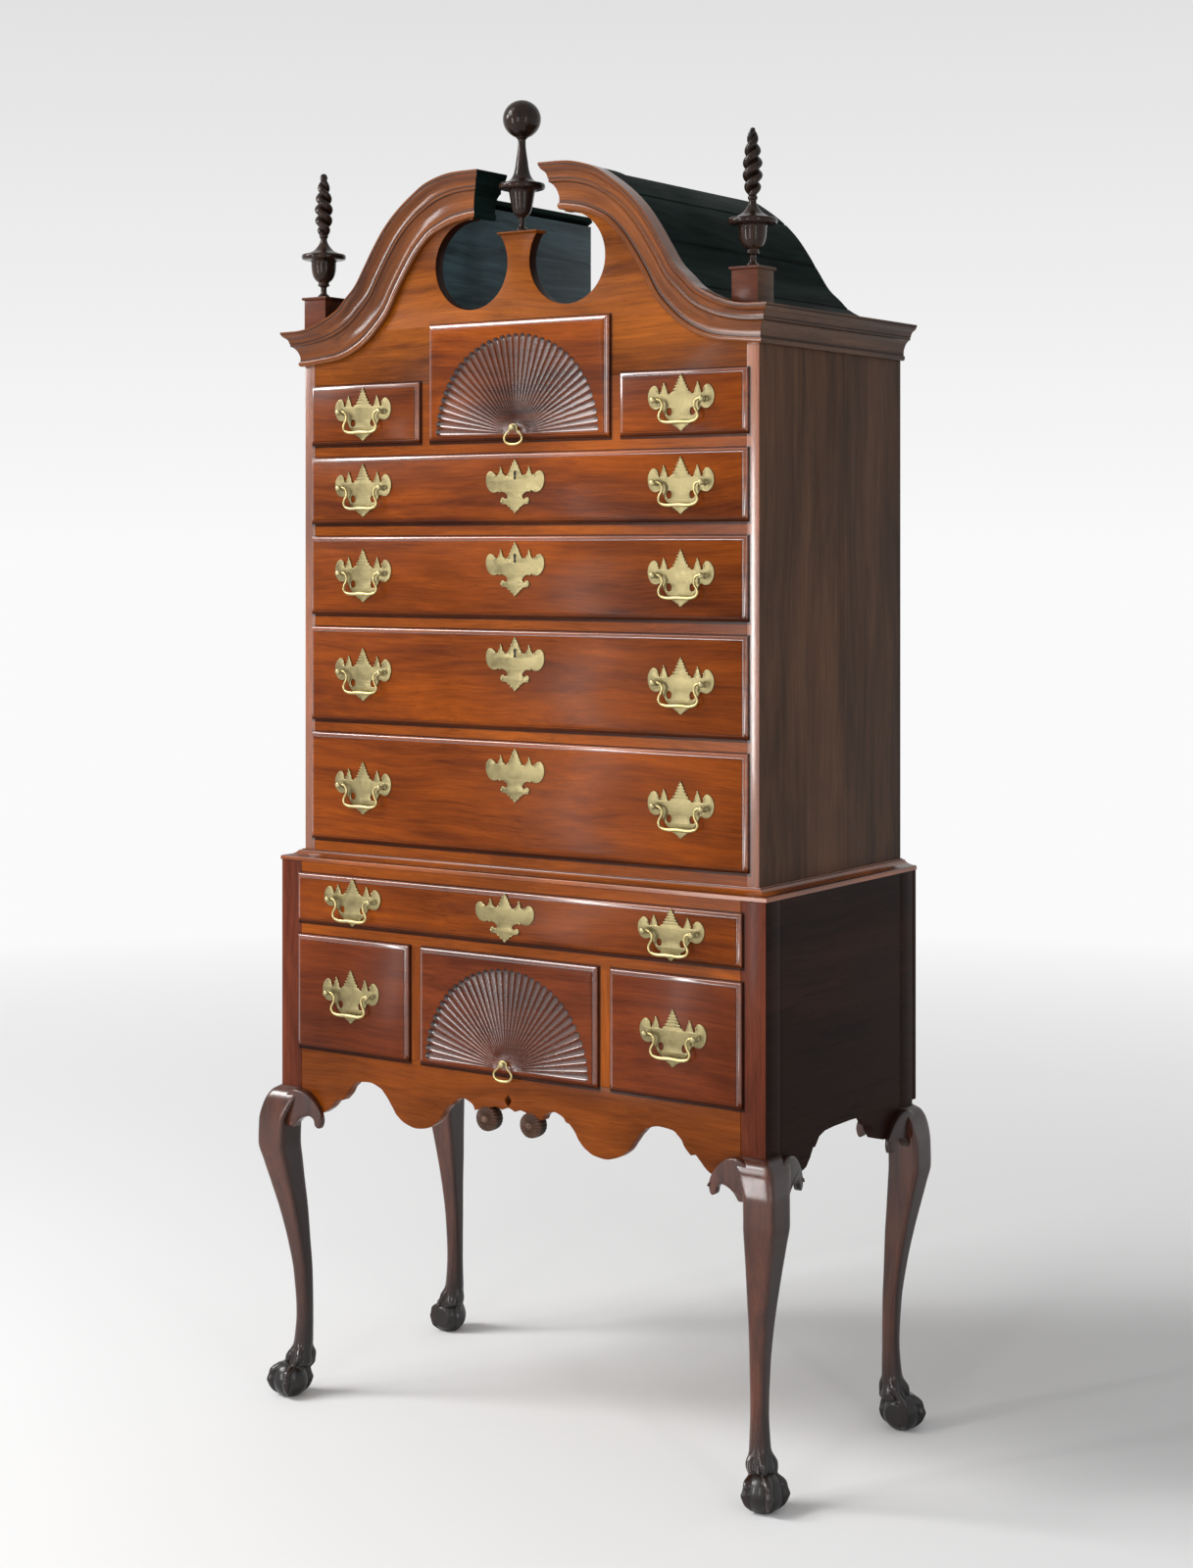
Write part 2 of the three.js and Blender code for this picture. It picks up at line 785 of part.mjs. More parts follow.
// Pediment board with its two open holes, the middle plinth and the notch for the fan drawer.
function addPediment() {
  const half = upperInner - gap;
  const line = neckLine(roofInset + roofThick + 2 * gap).filter(([x]) => x < half);
  const middle = new THREE.Vector2(holeCentre, holeHeight);
  const start = Math.acos((middlePlinthHalf - holeCentre) / holeRadius);
  const end = 2 * Math.PI + Math.acos((neckEnd - holeCentre) / holeRadius);
  const arc = Array.from({ length: holeSteps + 1 }, (_, k) => {
    const angle = start + ((end - start) * k) / holeSteps;
    return [middle.x + holeRadius * Math.cos(angle), middle.y + holeRadius * Math.sin(angle)];
  });
  const foot = smallFoot + smallHeight - lipLap;
  const notch = upperCentreHalf - lipLap;
  const outline = bothHalves([
    [0, middlePlinthTop],
    [middlePlinthHalf, middlePlinthTop],
    ...arc,
    ...line.reverse(),
    [half, line[line.length - 1][1]],
    [half, foot],
    [notch, foot],
    [notch, smallFoot + fanHeight - lipLap],
    [0, smallFoot + fanHeight - lipLap],
  ]);
  const back = upperFront + pedimentThick;
  const capHalf = middlePlinthHalf + middleCapProud / 2;
  const cap = board(
    -capHalf,
    capHalf,
    upperFront - middleCapProud,
    back + middleCapProud,
    middlePlinthTop - middleCap,
    middlePlinthTop,
  );
  const body = cutAlongY(outline, upperFront, back).add(cap);
  addPiece(upperCase, 'pediment_board', body, mahogany);
}

function addBonnetRoofs() {
  const top = neckLine(roofInset);
  const under = neckLine(roofInset + roofThick);
  const shell = cutAlongY([...top, ...under.reverse()], upperFront, rear);
  const crest = corniceTop + crestRise;
  const middleFoot = smallFoot + fanHeight - lipLap + topBoard;
  const cut = board(0, cheekPlace, upperFront + neckReturn, rear + overrun, corniceTop, crest);
  const cheekFront = upperFront + pedimentThick + gap;
  const outerCheek = cheekPlace + cheekThick;
  const crestLine = neckLine(roofInset + roofThick / 2).filter(([x]) => x < outerCheek + roofThick);
  const headZ = Math.min(...crestLine.map(([, z]) => z));
  const cheek = board(cheekPlace, outerCheek, cheekFront, rear, middleFoot + gap, headZ);
  addPair(upperCase, 'bonnet_roof', shell.subtract(cut).add(cheek), bonnetPaint);
}

function addUpperSides() {
  const end = backFace - gap;
  const behind = upperFront + railDepth + gap;
  const levels = [bottomRail + lipLap];
  for (const height of longHeights) {
    levels.push(levels[levels.length - 1] + height + railShow);
  }
  levels.pop();
  const top = corniceTop - roofInset - roofThick - gap;
  let body = board(upperInner, halfUpper, upperFront, rear, 0, top);
  for (const z of levels) {
    const inner = upperInner - runnerWide;
    body = body.add(board(inner, upperInner + bite, behind, end, z - runnerThick, z));
  }
  addPair(upperCase, 'upper_side', body, darkMahogany);
}

function addUpperBack() {
  const half = upperInner - gap;
  const cheekSide = cheekPlace + cheekThick + gap;
  const low = smallFoot + fanHeight - lipLap + topBoard;
  const line = neckLine(roofInset + roofThick + 2 * gap);
  const heightAt = (x) => {
    const i = line.findIndex((point) => point[0] <= x);
    const [[x1, z1], [x0, z0]] = [line[i - 1], line[i]];
    return z0 + ((x - x0) / (x1 - x0)) * (z1 - z0);
  };
  const inside = line.filter(([x]) => x > cheekSide && x < half).reverse();
  const outline = bothHalves([
    [0, low],
    [cheekSide, low],
    [cheekSide, heightAt(cheekSide)],
    ...inside,
    [half, heightAt(half)],
    [half, 0],
    [0, 0],
  ]);
  addPiece(upperCase, 'upper_back', cutAlongY(outline, backFace, rear), pine);
}

function addUpperRails() {
  const half = upperInner - gap;
  const end = backFace - gap;
  const front = upperFront + apronThick;
  const level = bottomRail + lipLap;
  const profile = [
    [upperFront, 0],
    [end, 0],
    [end, bottomBoard],
    [front, bottomBoard],
    [front, level],
    [upperFront, level],
  ];
  addPiece(upperCase, 'upper_bottom', cutAlongX(profile, -half, half), mahogany);
  let lip = bottomRail;
  longHeights.slice(0, -1).forEach((height, i) => {
    const z0 = lip + height - lipLap;
    lip += height + railShow;
    const blade = board(-half, half, upperFront, upperFront + railDepth, z0, lip + lipLap);
    addPiece(upperCase, `drawer_blade_${i + 1}`, blade, mahogany);
  });
}

// Shelf, two partitions and the boards over the small drawers, joined as one frame.
function addTopRowFrame() {
  const half = upperInner - gap;
  const shelfFoot = smallFoot - railShow - lipLap;
  const shelfTop = smallFoot + lipLap;
  const inner = upperCentreHalf - lipLap;
  const outer = upperCentreHalf + upperStileShow + lipLap;
  const sideTop = smallFoot + smallHeight - lipLap;
  const middleTop = smallFoot + fanHeight - lipLap;
  const outside = bothHalves([
    [0, middleTop + topBoard],
    [outer, middleTop + topBoard],
    [outer, sideTop + topBoard],
    [half, sideTop + topBoard],
    [half, sideTop],
    [outer, sideTop],
    [outer, shelfTop],
    [half, shelfTop],
    [half, shelfFoot],
    [0, shelfFoot],
  ]);
  const end = backFace - gap;
  const pedimentBack = upperFront + pedimentThick + gap;
  const above = middleTop + topBoard + overrun;
  const body = cutAlongY(outside, upperFront, end)
    .subtract(board(-inner, inner, upperFront - overrun, end + overrun, shelfTop, middleTop))
    .subtract(board(-half, half, upperFront - overrun, pedimentBack, sideTop - gap, above))
    .subtract(board(
      -half - overrun,
      half + overrun,
      upperFront + railDepth,
      end + overrun,
      shelfFoot - overrun,
      shelfTop - topBoard,
    ));
  addPiece(upperCase, 'top_row_frame', body, mahogany);
}

// Corner plinth: a block with a thin cap, scribed to the top of the crown moulding.
function addCornerPlinths() {
  const x1 = halfUpper;
  const x0 = x1 - cornerPlinth;
  const y0 = upperFront - cornerPlinthProud;
  const y1 = y0 + cornerPlinth;
  const top = corniceTop + cornerPlinthRise;
  const over = cornerCapProud;
  const cap = board(x0 - over, x1 + over, y0 - over, y1 + over, top - cornerCapThick, top);
  const crown = neckLine(-gap).slice(1).filter(([x]) => x > x0 - cornerPlinth);
  const under = [
    [halfUpper + cornerPlinth, corniceTop + gap],
    [halfUpper + corniceReach, corniceTop + gap],
    ...crown,
    [crown[crown.length - 1][0], corniceFoot],
    [halfUpper + cornerPlinth, corniceFoot],
  ];
  const scribe = cutAlongY(under, y0 - cornerPlinth, y1 + cornerPlinth);
  const body = board(x0, x1, y0, y1, corniceTop, top).add(cap).subtract(scribe);
  addPair(upperCase, 'plinth', body, darkMahogany);
}

// Turned urn of the side finials, as shares of the whole height and of half the width.
const urnShares = [
  [0, 0],
  [0, 0.27],
  [0.018, 0.27],
  [0.04, 0.14],
  [0.085, 0.14],
  [0.1, 0.27],
  [0.118, 0.24],
  [0.14, 0.38],
  [0.2, 0.53],
  [0.295, 0.56],
  [0.31, 0.97],
  [0.34, 1],
  [0.36, 0.7],
  [0.4, 0.34],
  [0.45, 0.17],
  [0.5, 0.17],
  [0.51, 0],
];
const flameShares = [
  [0.485, 0.5],
  [0.56, 0.88],
  [0.66, 1],
  [0.76, 0.88],
  [0.86, 0.6],
  [0.94, 0.3],
  [1, 0.06],
];
const flameTurns = 0.8;
const flameLobes = 3;
const flameCut = 0.16;

// Turned middle finial, up to the neck that carries the ball.
const middleUrnShares = [
  [0, 0],
  [0, 0.26],
  [0.018, 0.26],
  [0.04, 0.14],
  [0.11, 0.13],
  [0.14, 0.36],
  [0.2, 0.46],
  [0.31, 0.56],
  [0.325, 0.97],
  [0.355, 1],
  [0.375, 0.68],
  [0.41, 0.42],
  [0.52, 0.27],
  [0.64, 0.18],
  [0.73, 0.19],
  [0.735, 0],
];

function flame() {
  const rings = flameShares.map(([up, out], i) => (
    Array.from({ length: flameSides }, (_, k) => {
      const angle = (2 * Math.PI * k) / flameSides;
      const twist = (2 * Math.PI * flameTurns * i) / flameShares.length;
      const cut = 1 - flameCut * (1 - Math.cos(flameLobes * angle));
      const radius = (flameWidth / 2) * out * cut;
      const x = radius * Math.cos(angle + twist);
      const y = radius * Math.sin(angle + twist);
      return new THREE.Vector3(x, y, sideFinialHeight * up);
    })
  ));
  return skin(rings);
}

function addFinials() {
  const urn = turning(urnShares, sideFinialHeight, sideFinialWidth / 2);
  const x = halfUpper - cornerPlinth / 2;
  const y = upperFront - cornerPlinthProud + cornerPlinth / 2;
  const z = corniceTop + cornerPlinthRise + gap;
  const [left, right] = addPair(upperCase, 'finial', urn.add(flame()), turnedWood);
  left.position.set(-x, y, z);
  right.position.set(x, y, z);
  const crest = new THREE.Vector3(0, 0, middleFinialHeight - ballDiameter / 2);
  const middle = turning(middleUrnShares, middleFinialHeight, middleFinialWidth / 2)
    .add(ball(ballDiameter / 2, crest));
  const centre = addPiece(upperCase, 'finial_centre', middle, turnedWood);
  centre.position.set(0, upperFront + pedimentThick / 2, middlePlinthTop + gap);
}

// Cast brasses: right half of each outline, as shares of half the width and half the height.
const plateShares = [
  [0, 1],
  [0.07, 0.84],
  [0.18, 0.64],
  [0.28, 0.48],
  [0.37, 0.38],
  [0.44, 0.48],
  [0.5, 0.68],
  [0.56, 0.48],
  [0.62, 0.38],
  [0.74, 0.52],
  [0.9, 0.46],
  [1, 0.18],
  [0.94, -0.08],
  [0.8, -0.23],
  [0.62, -0.22],
  [0.52, -0.36],
  [0.44, -0.54],
  [0.3, -0.68],
  [0.26, -0.78],
  [0.14, -0.84],
  [0, -1],
];
const escutcheonShares = [
  [0, 1],
  [0.08, 0.84],
  [0.15, 0.66],
  [0.22, 0.48],
  [0.31, 0.38],
  [0.42, 0.5],
  [0.48, 0.72],
  [0.54, 0.52],
  [0.63, 0.4],
  [0.8, 0.56],
  [0.96, 0.46],
  [1, 0.2],
  [0.92, -0.06],
  [0.74, -0.22],
  [0.44, -0.2],
  [0.25, -0.36],
  [0.28, -0.46],
  [0.44, -0.4],
  [0.49, -0.54],
  [0.36, -0.66],
  [0.16, -0.78],
  [0, -1],
];

// Half of the bail from its pin to the middle, as shares of half the spacing and of the drop.
const bailShares = [
  [0.92, 0, 0],
  [0.72, 0.01, 0],
  [0.7, -0.24, 0],
  [0.84, -0.6, 0],
  [0.84, -0.86, 0.1],
  [0.62, -1, 0.3],
  [0, -0.97, 1],
];
const pegShares = [0, 0.72, 0.76, 1];
const ringShares = [
  [0, 0.5],
  [0.28, 0.45],
  [0.38, 0.22],
  [0.5, -0.14],
  [0.4, -0.38],
  [0, -0.5],
];

function castPlate(shares, width, height, face) {
  const outline = bothHalves(shares.map(([x, z]) => [(width / 2) * x, (height / 2) * z]));
  return cutAlongY(outline, face - plateThick, face + plateThick);
}

// A post with a collar at its end; it stands out from the face.
function peg(radius, head, reach, face) {
  const sizes = [radius, radius, head, radius];
  const rings = pegShares.map((share, i) => Array.from({ length: pegSides }, (_, k) => {
    const angle = (2 * Math.PI * k) / pegSides;
    const y = face + plateThick - (reach + plateThick) * share;
    return new THREE.Vector3(sizes[i] * Math.cos(angle), y, sizes[i] * Math.sin(angle));
  }));
  return skin(rings);
}

function bail() {
  const half = bailShares.map(([across, down, swell]) => ({
    point: new THREE.Vector3((across * postSpacing) / 2, 0, down * bailDrop),
    radius: bailThick + (bailSwell - bailThick) * swell,
  }));
  const other = half.slice(0, -1).reverse().map(({ point, radius }) => ({
    point: new THREE.Vector3(-point.x, 0, point.z),
    radius,
  }));
  const all = [...half, ...other];
  const planeNormal = new THREE.Vector3(0, 1, 0);
  return rod(all.map(({ point }) => point), all.map(({ radius }) => radius), planeNormal);
}

function ringPull() {
  const right = ringShares.map(([x, z]) => new THREE.Vector3(x * ringWide, 0, z * ringTall));
  const left = right.slice(1, -1).reverse().map((point) => new THREE.Vector3(-point.x, 0, point.z));
  const path = [...right, ...left];
  return rod(path, path.map(() => ringThick), new THREE.Vector3(0, 1, 0), true);
}

// Section of one flute: across and outwards, as shares of half its pitch.
const fluteShares = [
  [0.94, 1],
  [0.94, 0],
  [0.52, -0.6],
  [-0.52, -0.6],
  [-0.94, 0],
  [-0.94, 1],
];

// Fan of tapering flutes sunk into the drawer's face, as the tool that cuts them.
function fanTool() {
  const step = Math.PI / fanFlutes;
  const flutes = Array.from({ length: fanFlutes }, (_, k) => {
    const bearing = step * (k + 1 / 2);
    const out = new THREE.Vector3(Math.cos(bearing), 0, Math.sin(bearing));
    const across = new THREE.Vector3(-out.z, 0, out.x);
    const rings = [fanHub, fanRadius].map((distance) => fluteShares.map(([wide, deep]) => (
      out.clone().multiplyScalar(distance)
        .addScaledVector(across, wide * distance * Math.tan(step / 2))
        .add(new THREE.Vector3(0, -deep * distance * Math.tan(step / 2), 0))
    )));
    return skin(rings);
  });
  return wasm.Manifold.union(flutes);
}

// Lipped front: a rectangle that slopes in towards its face.
function lippedFront(width, height) {
  const ring = (y, inset) => [
    [inset, inset],
    [width - inset, inset],
    [width - inset, height - inset],
    [inset, height - inset],
  ].map(([x, z]) => new THREE.Vector3(x - width / 2, y, z));
  return skin([
    ring(-gap, 0),
    ring(-lipProud / 2, 0),
    ring(-lipProud * (7 / 8), lipSlope / 3),
    ring(-lipProud, lipSlope),
  ]);
}

// A drawer about the foot of its lip; y = 0 is the face of the case.
function drawerBody(options) {
  const { width, height, depth, pulls, scale, escutcheon, lockDrop, keyhole, fan } = options;
  const half = width / 2 - lipLap - running;
  const foot = lipLap + gap;
  const top = height - lipLap - running;
  const boxTop = top - sideRelief;
  const hollowHalf = half - drawerSide;
  let body = lippedFront(width, height)
    .add(board(-half, half, -gap - bite, frontThick, foot, top))
    .add(board(-half, half, frontThick - bite, depth, foot, boxTop))
    .subtract(board(
      -hollowHalf,
      hollowHalf,
      frontThick,
      depth - drawerSide,
      foot + drawerBottom,
      top + overrun,
    ));
  const face = -lipProud;
  const pullRise = height / 2;
  for (const x of pulls) {
    const plate = castPlate(plateShares, plateWidth, plateHeight * scale, face);
    body = body.add(plate.translate([x, 0, pullRise]));
    for (const side of [-1, 1]) {
      const post = peg(postRadius, postHead, postReach, face);
      const place = x + (side * postSpacing) / 2;
      body = body.add(post.translate([place, 0, pullRise + postLift * scale]));
    }
  }
  const lockPlate = escutcheonHeight * scale;
  const lockRise = height - lockDrop - lockPlate / 2;
  if (escutcheon) {
    const plate = castPlate(escutcheonShares, escutcheonWidth, lockPlate, face);
    body = body.add(plate.translate([0, 0, lockRise]));
  }
  if (keyhole) {
    const z = lockRise + keyholeRise;
    const slot = board(
      -keyholeWide / 2,
      keyholeWide / 2,
      face - overrun,
      face + plateThick,
      z - keyholeHigh / 2,
      z + keyholeHigh / 2,
    );
    body = body.subtract(slot);
  }
  if (fan) {
    const post = peg(ringPostRadius, ringPostHead, ringPostReach, face);
    body = body.subtract(fanTool().translate([0, face, fanBase]));
    body = body.add(post.translate([0, 0, ringPostRise]));
  }
  return body;
}

function addDrawer(parent, name, front, x, foot, options) {
  const scale = options.scale ?? 1;
  const mesh = addPiece(parent, name, drawerBody({ pulls: [], ...options, scale }), mahogany);
  mesh.position.set(x, front, foot);
  const face = front - lipProud;
  (options.pulls ?? []).forEach((place, i, all) => {
    const hand = all.length > 1 ? ['_left', '_right'][i] : '';
    const handle = addPiece(parent, `bail_${name}${hand}`, bail(), brass);
    const z = foot + options.height / 2 + postLift * scale;
    handle.position.set(x + place, face - postReach * pinShare, z);
  });
  if (options.fan) {
    const ring = addPiece(parent, `ring_${name}`, ringPull(), brass);
    const top = foot + ringPostRise + ringPostRadius + gap + ringThick;
    ring.position.set(x, face - ringPostReach / 2, top - ringTall / 2);
  }
}

function addDrawers() {
  const upperDeep = backFace - drawerBackGap - upperFront;
  const lowerDeep = backFace - drawerBackGap - lowerFront;
  const pullPlace = upperInner + lipLap - pullInset;
  const pair = [-pullPlace, pullPlace];
  let foot = bottomRail;
  longHeights.forEach((height, i) => {
    addDrawer(upperCase, `long_drawer_${longHeights.length - i}`, upperFront, 0, foot, {
      width: 2 * (upperInner + lipLap),
      height,
      depth: upperDeep,
      pulls: pair,
      escutcheon: true,
      lockDrop: escutcheonDrop,
      keyhole: i > 0,
    });
    foot += height + railShow;
  });
  const rows = [
    {
      parent: upperCase,
      prefix: 'top_drawer',
      front: upperFront,
      depth: upperDeep,
      foot: smallFoot,
      outer: upperInner + lipLap,
      centreHalf: upperCentreHalf,
      stile: upperStileShow,
      side: smallHeight,
      centre: fanHeight,
    },
    {
      parent: lowerCase,
      prefix: 'lower_drawer',
      front: lowerFront,
      depth: lowerDeep,
      foot: lowerSmallFoot,
      outer: lowerInner + lipLap,
      centreHalf: lowerCentreHalf,
      stile: lowerStileShow,
      side: lowerSmallHeight,
      centre: lowerSmallHeight,
    },
  ];
  for (const row of rows) {
    const inner = row.centreHalf + row.stile;
    const width = row.outer - inner;
    const middle = (row.outer + inner) / 2;
    for (const [hand, side] of [['left', -1], ['right', 1]]) {
      addDrawer(row.parent, `${row.prefix}_${hand}`, row.front, side * middle, row.foot, {
        width,
        height: row.side,
        depth: row.depth,
        pulls: [0],
      });
    }
    addDrawer(row.parent, `${row.prefix}_centre`, row.front, 0, row.foot, {
      width: 2 * row.centreHalf,
      height: row.centre,
      depth: row.depth,
      fan: true,
    });
  }
  addDrawer(lowerCase, 'lower_long_drawer', lowerFront, 0, lowerLongFoot, {
    width: 2 * (lowerInner + lipLap),
    height: lowerLongHeight,
    depth: lowerDeep,
    pulls: pair,
    scale: lowBrassScale,
    escutcheon: true,
    lockDrop: lowEscutcheonDrop,
  });
}

// The footprint is centred on the origin.
function centreFootprint() {
  const middle = new THREE.Box3().setFromObject(highboy).getCenter(new THREE.Vector3());
  lowerCase.position.y -= middle.y;
  upperCase.position.y -= middle.y;
}

addLegs();
addApron();
addLowerSides();
addLowerRails();
addLowerDividers();
addWaistMoulding();
addUpperSides();
addUpperBack();
addUpperRails();
addTopRowFrame();
addPediment();
addSwanNecks();
addCorniceReturns();
addBonnetRoofs();
addCornerPlinths();
addFinials();
addDrawers();
centreFootprint();

export default highboy;
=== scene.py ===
"""Dresses the bonnet-top highboy: carved and moulded pieces, cast brasses, woods and the studio."""

import math

import bmesh
import bpy
import numpy as np
from bpy.props import FloatProperty, FloatVectorProperty, IntProperty, PointerProperty
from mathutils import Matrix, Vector
from mathutils.geometry import tessellate_polygon


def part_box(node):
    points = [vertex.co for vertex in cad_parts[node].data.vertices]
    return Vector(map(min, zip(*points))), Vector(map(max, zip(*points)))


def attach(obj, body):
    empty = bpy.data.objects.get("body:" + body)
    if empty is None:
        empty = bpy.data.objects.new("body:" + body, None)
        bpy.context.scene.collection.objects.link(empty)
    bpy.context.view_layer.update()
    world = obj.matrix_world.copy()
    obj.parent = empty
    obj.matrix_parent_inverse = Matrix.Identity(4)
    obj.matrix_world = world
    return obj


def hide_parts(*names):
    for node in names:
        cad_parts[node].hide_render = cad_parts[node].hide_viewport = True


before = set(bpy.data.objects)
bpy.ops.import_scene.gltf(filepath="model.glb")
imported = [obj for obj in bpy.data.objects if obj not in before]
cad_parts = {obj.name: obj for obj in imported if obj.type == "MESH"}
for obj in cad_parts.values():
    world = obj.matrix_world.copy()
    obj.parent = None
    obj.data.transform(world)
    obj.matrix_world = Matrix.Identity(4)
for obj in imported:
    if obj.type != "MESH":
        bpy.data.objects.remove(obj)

bl_info = {
    "name": "Bonnet-top highboy",
    "version": (1, 0, 0),
    "blender": (4, 5, 0),
    "location": "3D View > Sidebar > Highboy",
    "description": "Builds the highboy's carvings, mouldings, brasses and finishes on its frame",
    "category": "Object",
}

MM = 0.001
TURN = 2 * math.pi
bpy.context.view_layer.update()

# Planes and lines of the cases, read from the frame.
UPPER_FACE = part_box("drawer_blade_1")[0].y
LOWER_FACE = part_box("lower_top_rail")[0].y
BACK_INNER, BACK_PLANE = (corner.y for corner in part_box("lower_back"))
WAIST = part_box("waist_moulding")[0].z
HALF_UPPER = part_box("upper_side_right")[1].x
HALF_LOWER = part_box("lower_side_right")[1].x
APRON_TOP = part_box("front_apron")[1].z
SMALL_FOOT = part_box("lower_drawer_centre")[0].z
TOP_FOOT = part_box("top_drawer_centre")[0].z
CORNICE_FOOT, CORNICE_TOP = (corner.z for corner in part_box("cornice_return_right"))

POST = 44.5 * MM
KNEE_HEIGHT = SMALL_FOOT - 70 * MM
APRON_FOOT = SMALL_FOOT - 110.5 * MM
UPPER_INNER = HALF_UPPER - 21.5 * MM
LOWER_INNER = HALF_LOWER - POST
PEDIMENT_THICK = 20 * MM
NECK_END = 92 * MM
CREST_RISE = 245.5 * MM
INNER_CREST_RISE = 230 * MM
NECK_RETURN = 52 * MM
HOLE_CENTRE = 96 * MM
HOLE_RADIUS = 74 * MM
HOLE_HEIGHT = TOP_FOOT + 195 * MM + 95.1 * MM
PLINTH_TOP = HOLE_HEIGHT + 48.9 * MM
PLINTH_HALF = 36.5 * MM
CORNER_PLINTH = 47 * MM
CROWN_REACH = 31 * MM
LIP = 8 * MM
FRONT_THICK = 20 * MM
SEAT_GAP = 0.3 * MM

UPPER_LONG = ["long_drawer_1", "long_drawer_2", "long_drawer_3", "long_drawer_4"]
FANS = ["top_drawer_centre", "lower_drawer_centre"]
TOP_DRAWERS = ["top_drawer_left", "top_drawer_centre", "top_drawer_right"]
LOWER_DRAWERS = ["lower_long_drawer", "lower_drawer_left", "lower_drawer_centre", "lower_drawer_right"]
PLAIN_FRONTS = UPPER_LONG + [
    "lower_long_drawer", "top_drawer_left", "top_drawer_right", "lower_drawer_left", "lower_drawer_right"
]

# Ends of a grid: closed to the end row's middle, cut flat, or left open.
ROUND, FLAT, OPEN = ("fan", "fan"), ("flat", "flat"), (None, None)


def face_of(drawer):
    """The plane of the case that a drawer's front stands proud of."""
    return LOWER_FACE if drawer.startswith("lower") else UPPER_FACE


# Sizes and colours


def colour(name, description, value):
    """A colour of the panel, in linear red, green and blue."""
    return FloatVectorProperty(
        name=name, description=description, subtype="COLOR", size=3, min=0, max=1, default=value
    )


def length(name, description, value):
    """A length of the panel, in metres."""
    return FloatProperty(
        name=name, description=description, subtype="DISTANCE", unit="LENGTH", default=value
    )


def strength(name, description, value):
    """A plain number of the panel, from 0 up."""
    return FloatProperty(name=name, description=description, min=0, default=value)


# The woods of the panel: key, what it is the wood of, and its light and dark colours.
WOODS = (
    ("front", "mahogany fronts", (0.285, 0.058, 0.0024), (0.090, 0.015, 0.0010)),
    ("fan", "fan and lower small fronts", (0.190, 0.037, 0.007), (0.082, 0.0145, 0.0035)),
    ("rail", "rails", (0.30, 0.070, 0.005), (0.14, 0.028, 0.003)),
    ("pediment", "pediment", (0.290, 0.074, 0.004), (0.085, 0.018, 0.0014)),
    ("neck", "swan necks", (0.29, 0.078, 0.008), (0.080, 0.017, 0.003)),
    ("side", "upper sides", (0.130, 0.064, 0.036), (0.048, 0.024, 0.014)),
    ("low", "lower sides", (0.027, 0.010, 0.006), (0.010, 0.004, 0.003)),
    ("leg", "legs", (0.110, 0.030, 0.014), (0.035, 0.010, 0.006)),
    ("post", "corner posts", (0.150, 0.032, 0.012), (0.066, 0.013, 0.006)),
    ("shell", "drop rosettes", (0.200, 0.105, 0.065), (0.090, 0.042, 0.026)),
    ("turned", "finials", (0.036, 0.017, 0.011), (0.007, 0.005, 0.004)),
    ("bonnet", "bonnet boards", (0.010, 0.024, 0.020), (0.0015, 0.0045, 0.004)),
    ("cheek", "boards behind the openings", (0.085, 0.150, 0.175), (0.022, 0.038, 0.044)),
    ("apron", "apron", (0.22, 0.050, 0.0045), (0.105, 0.022, 0.002)),
    ("pine", "pine inside the case", (0.56, 0.36, 0.17), (0.34, 0.19, 0.08)),
    ("back", "back boards", (0.27, 0.165, 0.085), (0.135, 0.075, 0.036)),
)


class HighboyWoods(bpy.types.PropertyGroup):
    gloss: FloatProperty(name="Polish", description="Weight of the polish coat", min=0, max=1, default=0.03)


for key, what, light, dark in WOODS:
    for shade, value in (("light", light), ("dark", dark)):
        HighboyWoods.__annotations__[key + "_" + shade] = colour(
            what.capitalize() + ", " + shade, shade.capitalize() + " streaks of the " + what, value
        )


class HighboyBrass(bpy.types.PropertyGroup):
    plate_colour: colour("Plate", "Colour of the cast plates", (0.40, 0.345, 0.175))
    bail_colour: colour("Bail", "Colour of the bails and rings", (0.56, 0.46, 0.21))
    plate_thick: length("Plate thickness", "Thickness of the cast plates", 0.0018)
    post_spacing: length("Post spacing", "Distance between a pull's posts", 0.089)
    bail_thick: length("Bail radius", "Radius of the bail at its ends", 0.0021)
    bail_swell: length("Bail swell", "Radius of the bail at its middle", 0.0032)


class HighboyCarving(bpy.types.PropertyGroup):
    flutes: IntProperty(name="Flutes", description="Flutes of each fan", min=9, default=37)
    flute_depth: length("Flute depth", "Depth of a flute at the rim", 0.0056)
    fan_radius: length("Fan radius", "Reach of each fan", 0.163)
    fan_base: length("Fan base", "Height of the fan's base line over the lower edge", 0.0098)
    fan_hub: length("Hub radius", "Radius of the smooth hub", 0.013)
    ball: length("Foot ball", "Radius of the ball under the claw", 0.031)
    knee: length("Knee reach", "Reach of the knee along the diagonal", 0.072)


class HighboyStage(bpy.types.PropertyGroup):
    floor_colour: colour("Floor", "Colour of the studio floor", (0.85, 0.85, 0.85))
    sun: strength("Main light", "Strength of the broad main light", 0.36)
    box: strength("Soft box", "Watts of the soft box", 55)
    side: strength("Side strip", "Watts of the upright strip at the right", 14)
    key: strength("Key strip", "Watts of the level strip over the fronts", 68)
    sheen: strength("Sheen strip", "Watts of the upright strip that lights the polish", 50)
    front: strength("Front strip", "Watts of the strip that lights the lips' right sides", 28)
    lips: strength("Lip strip", "Watts of the strip that lights the upper lips", 80)
    fill: strength("Fill light", "Strength of the ambient light", 0.42)
    horizon: colour("Horizon", "Colour of the backdrop at the horizon", (0.955, 0.955, 0.955))
    sky: colour("Backdrop", "Colour of the backdrop overhead", (0.745, 0.745, 0.745))


# Surfaces


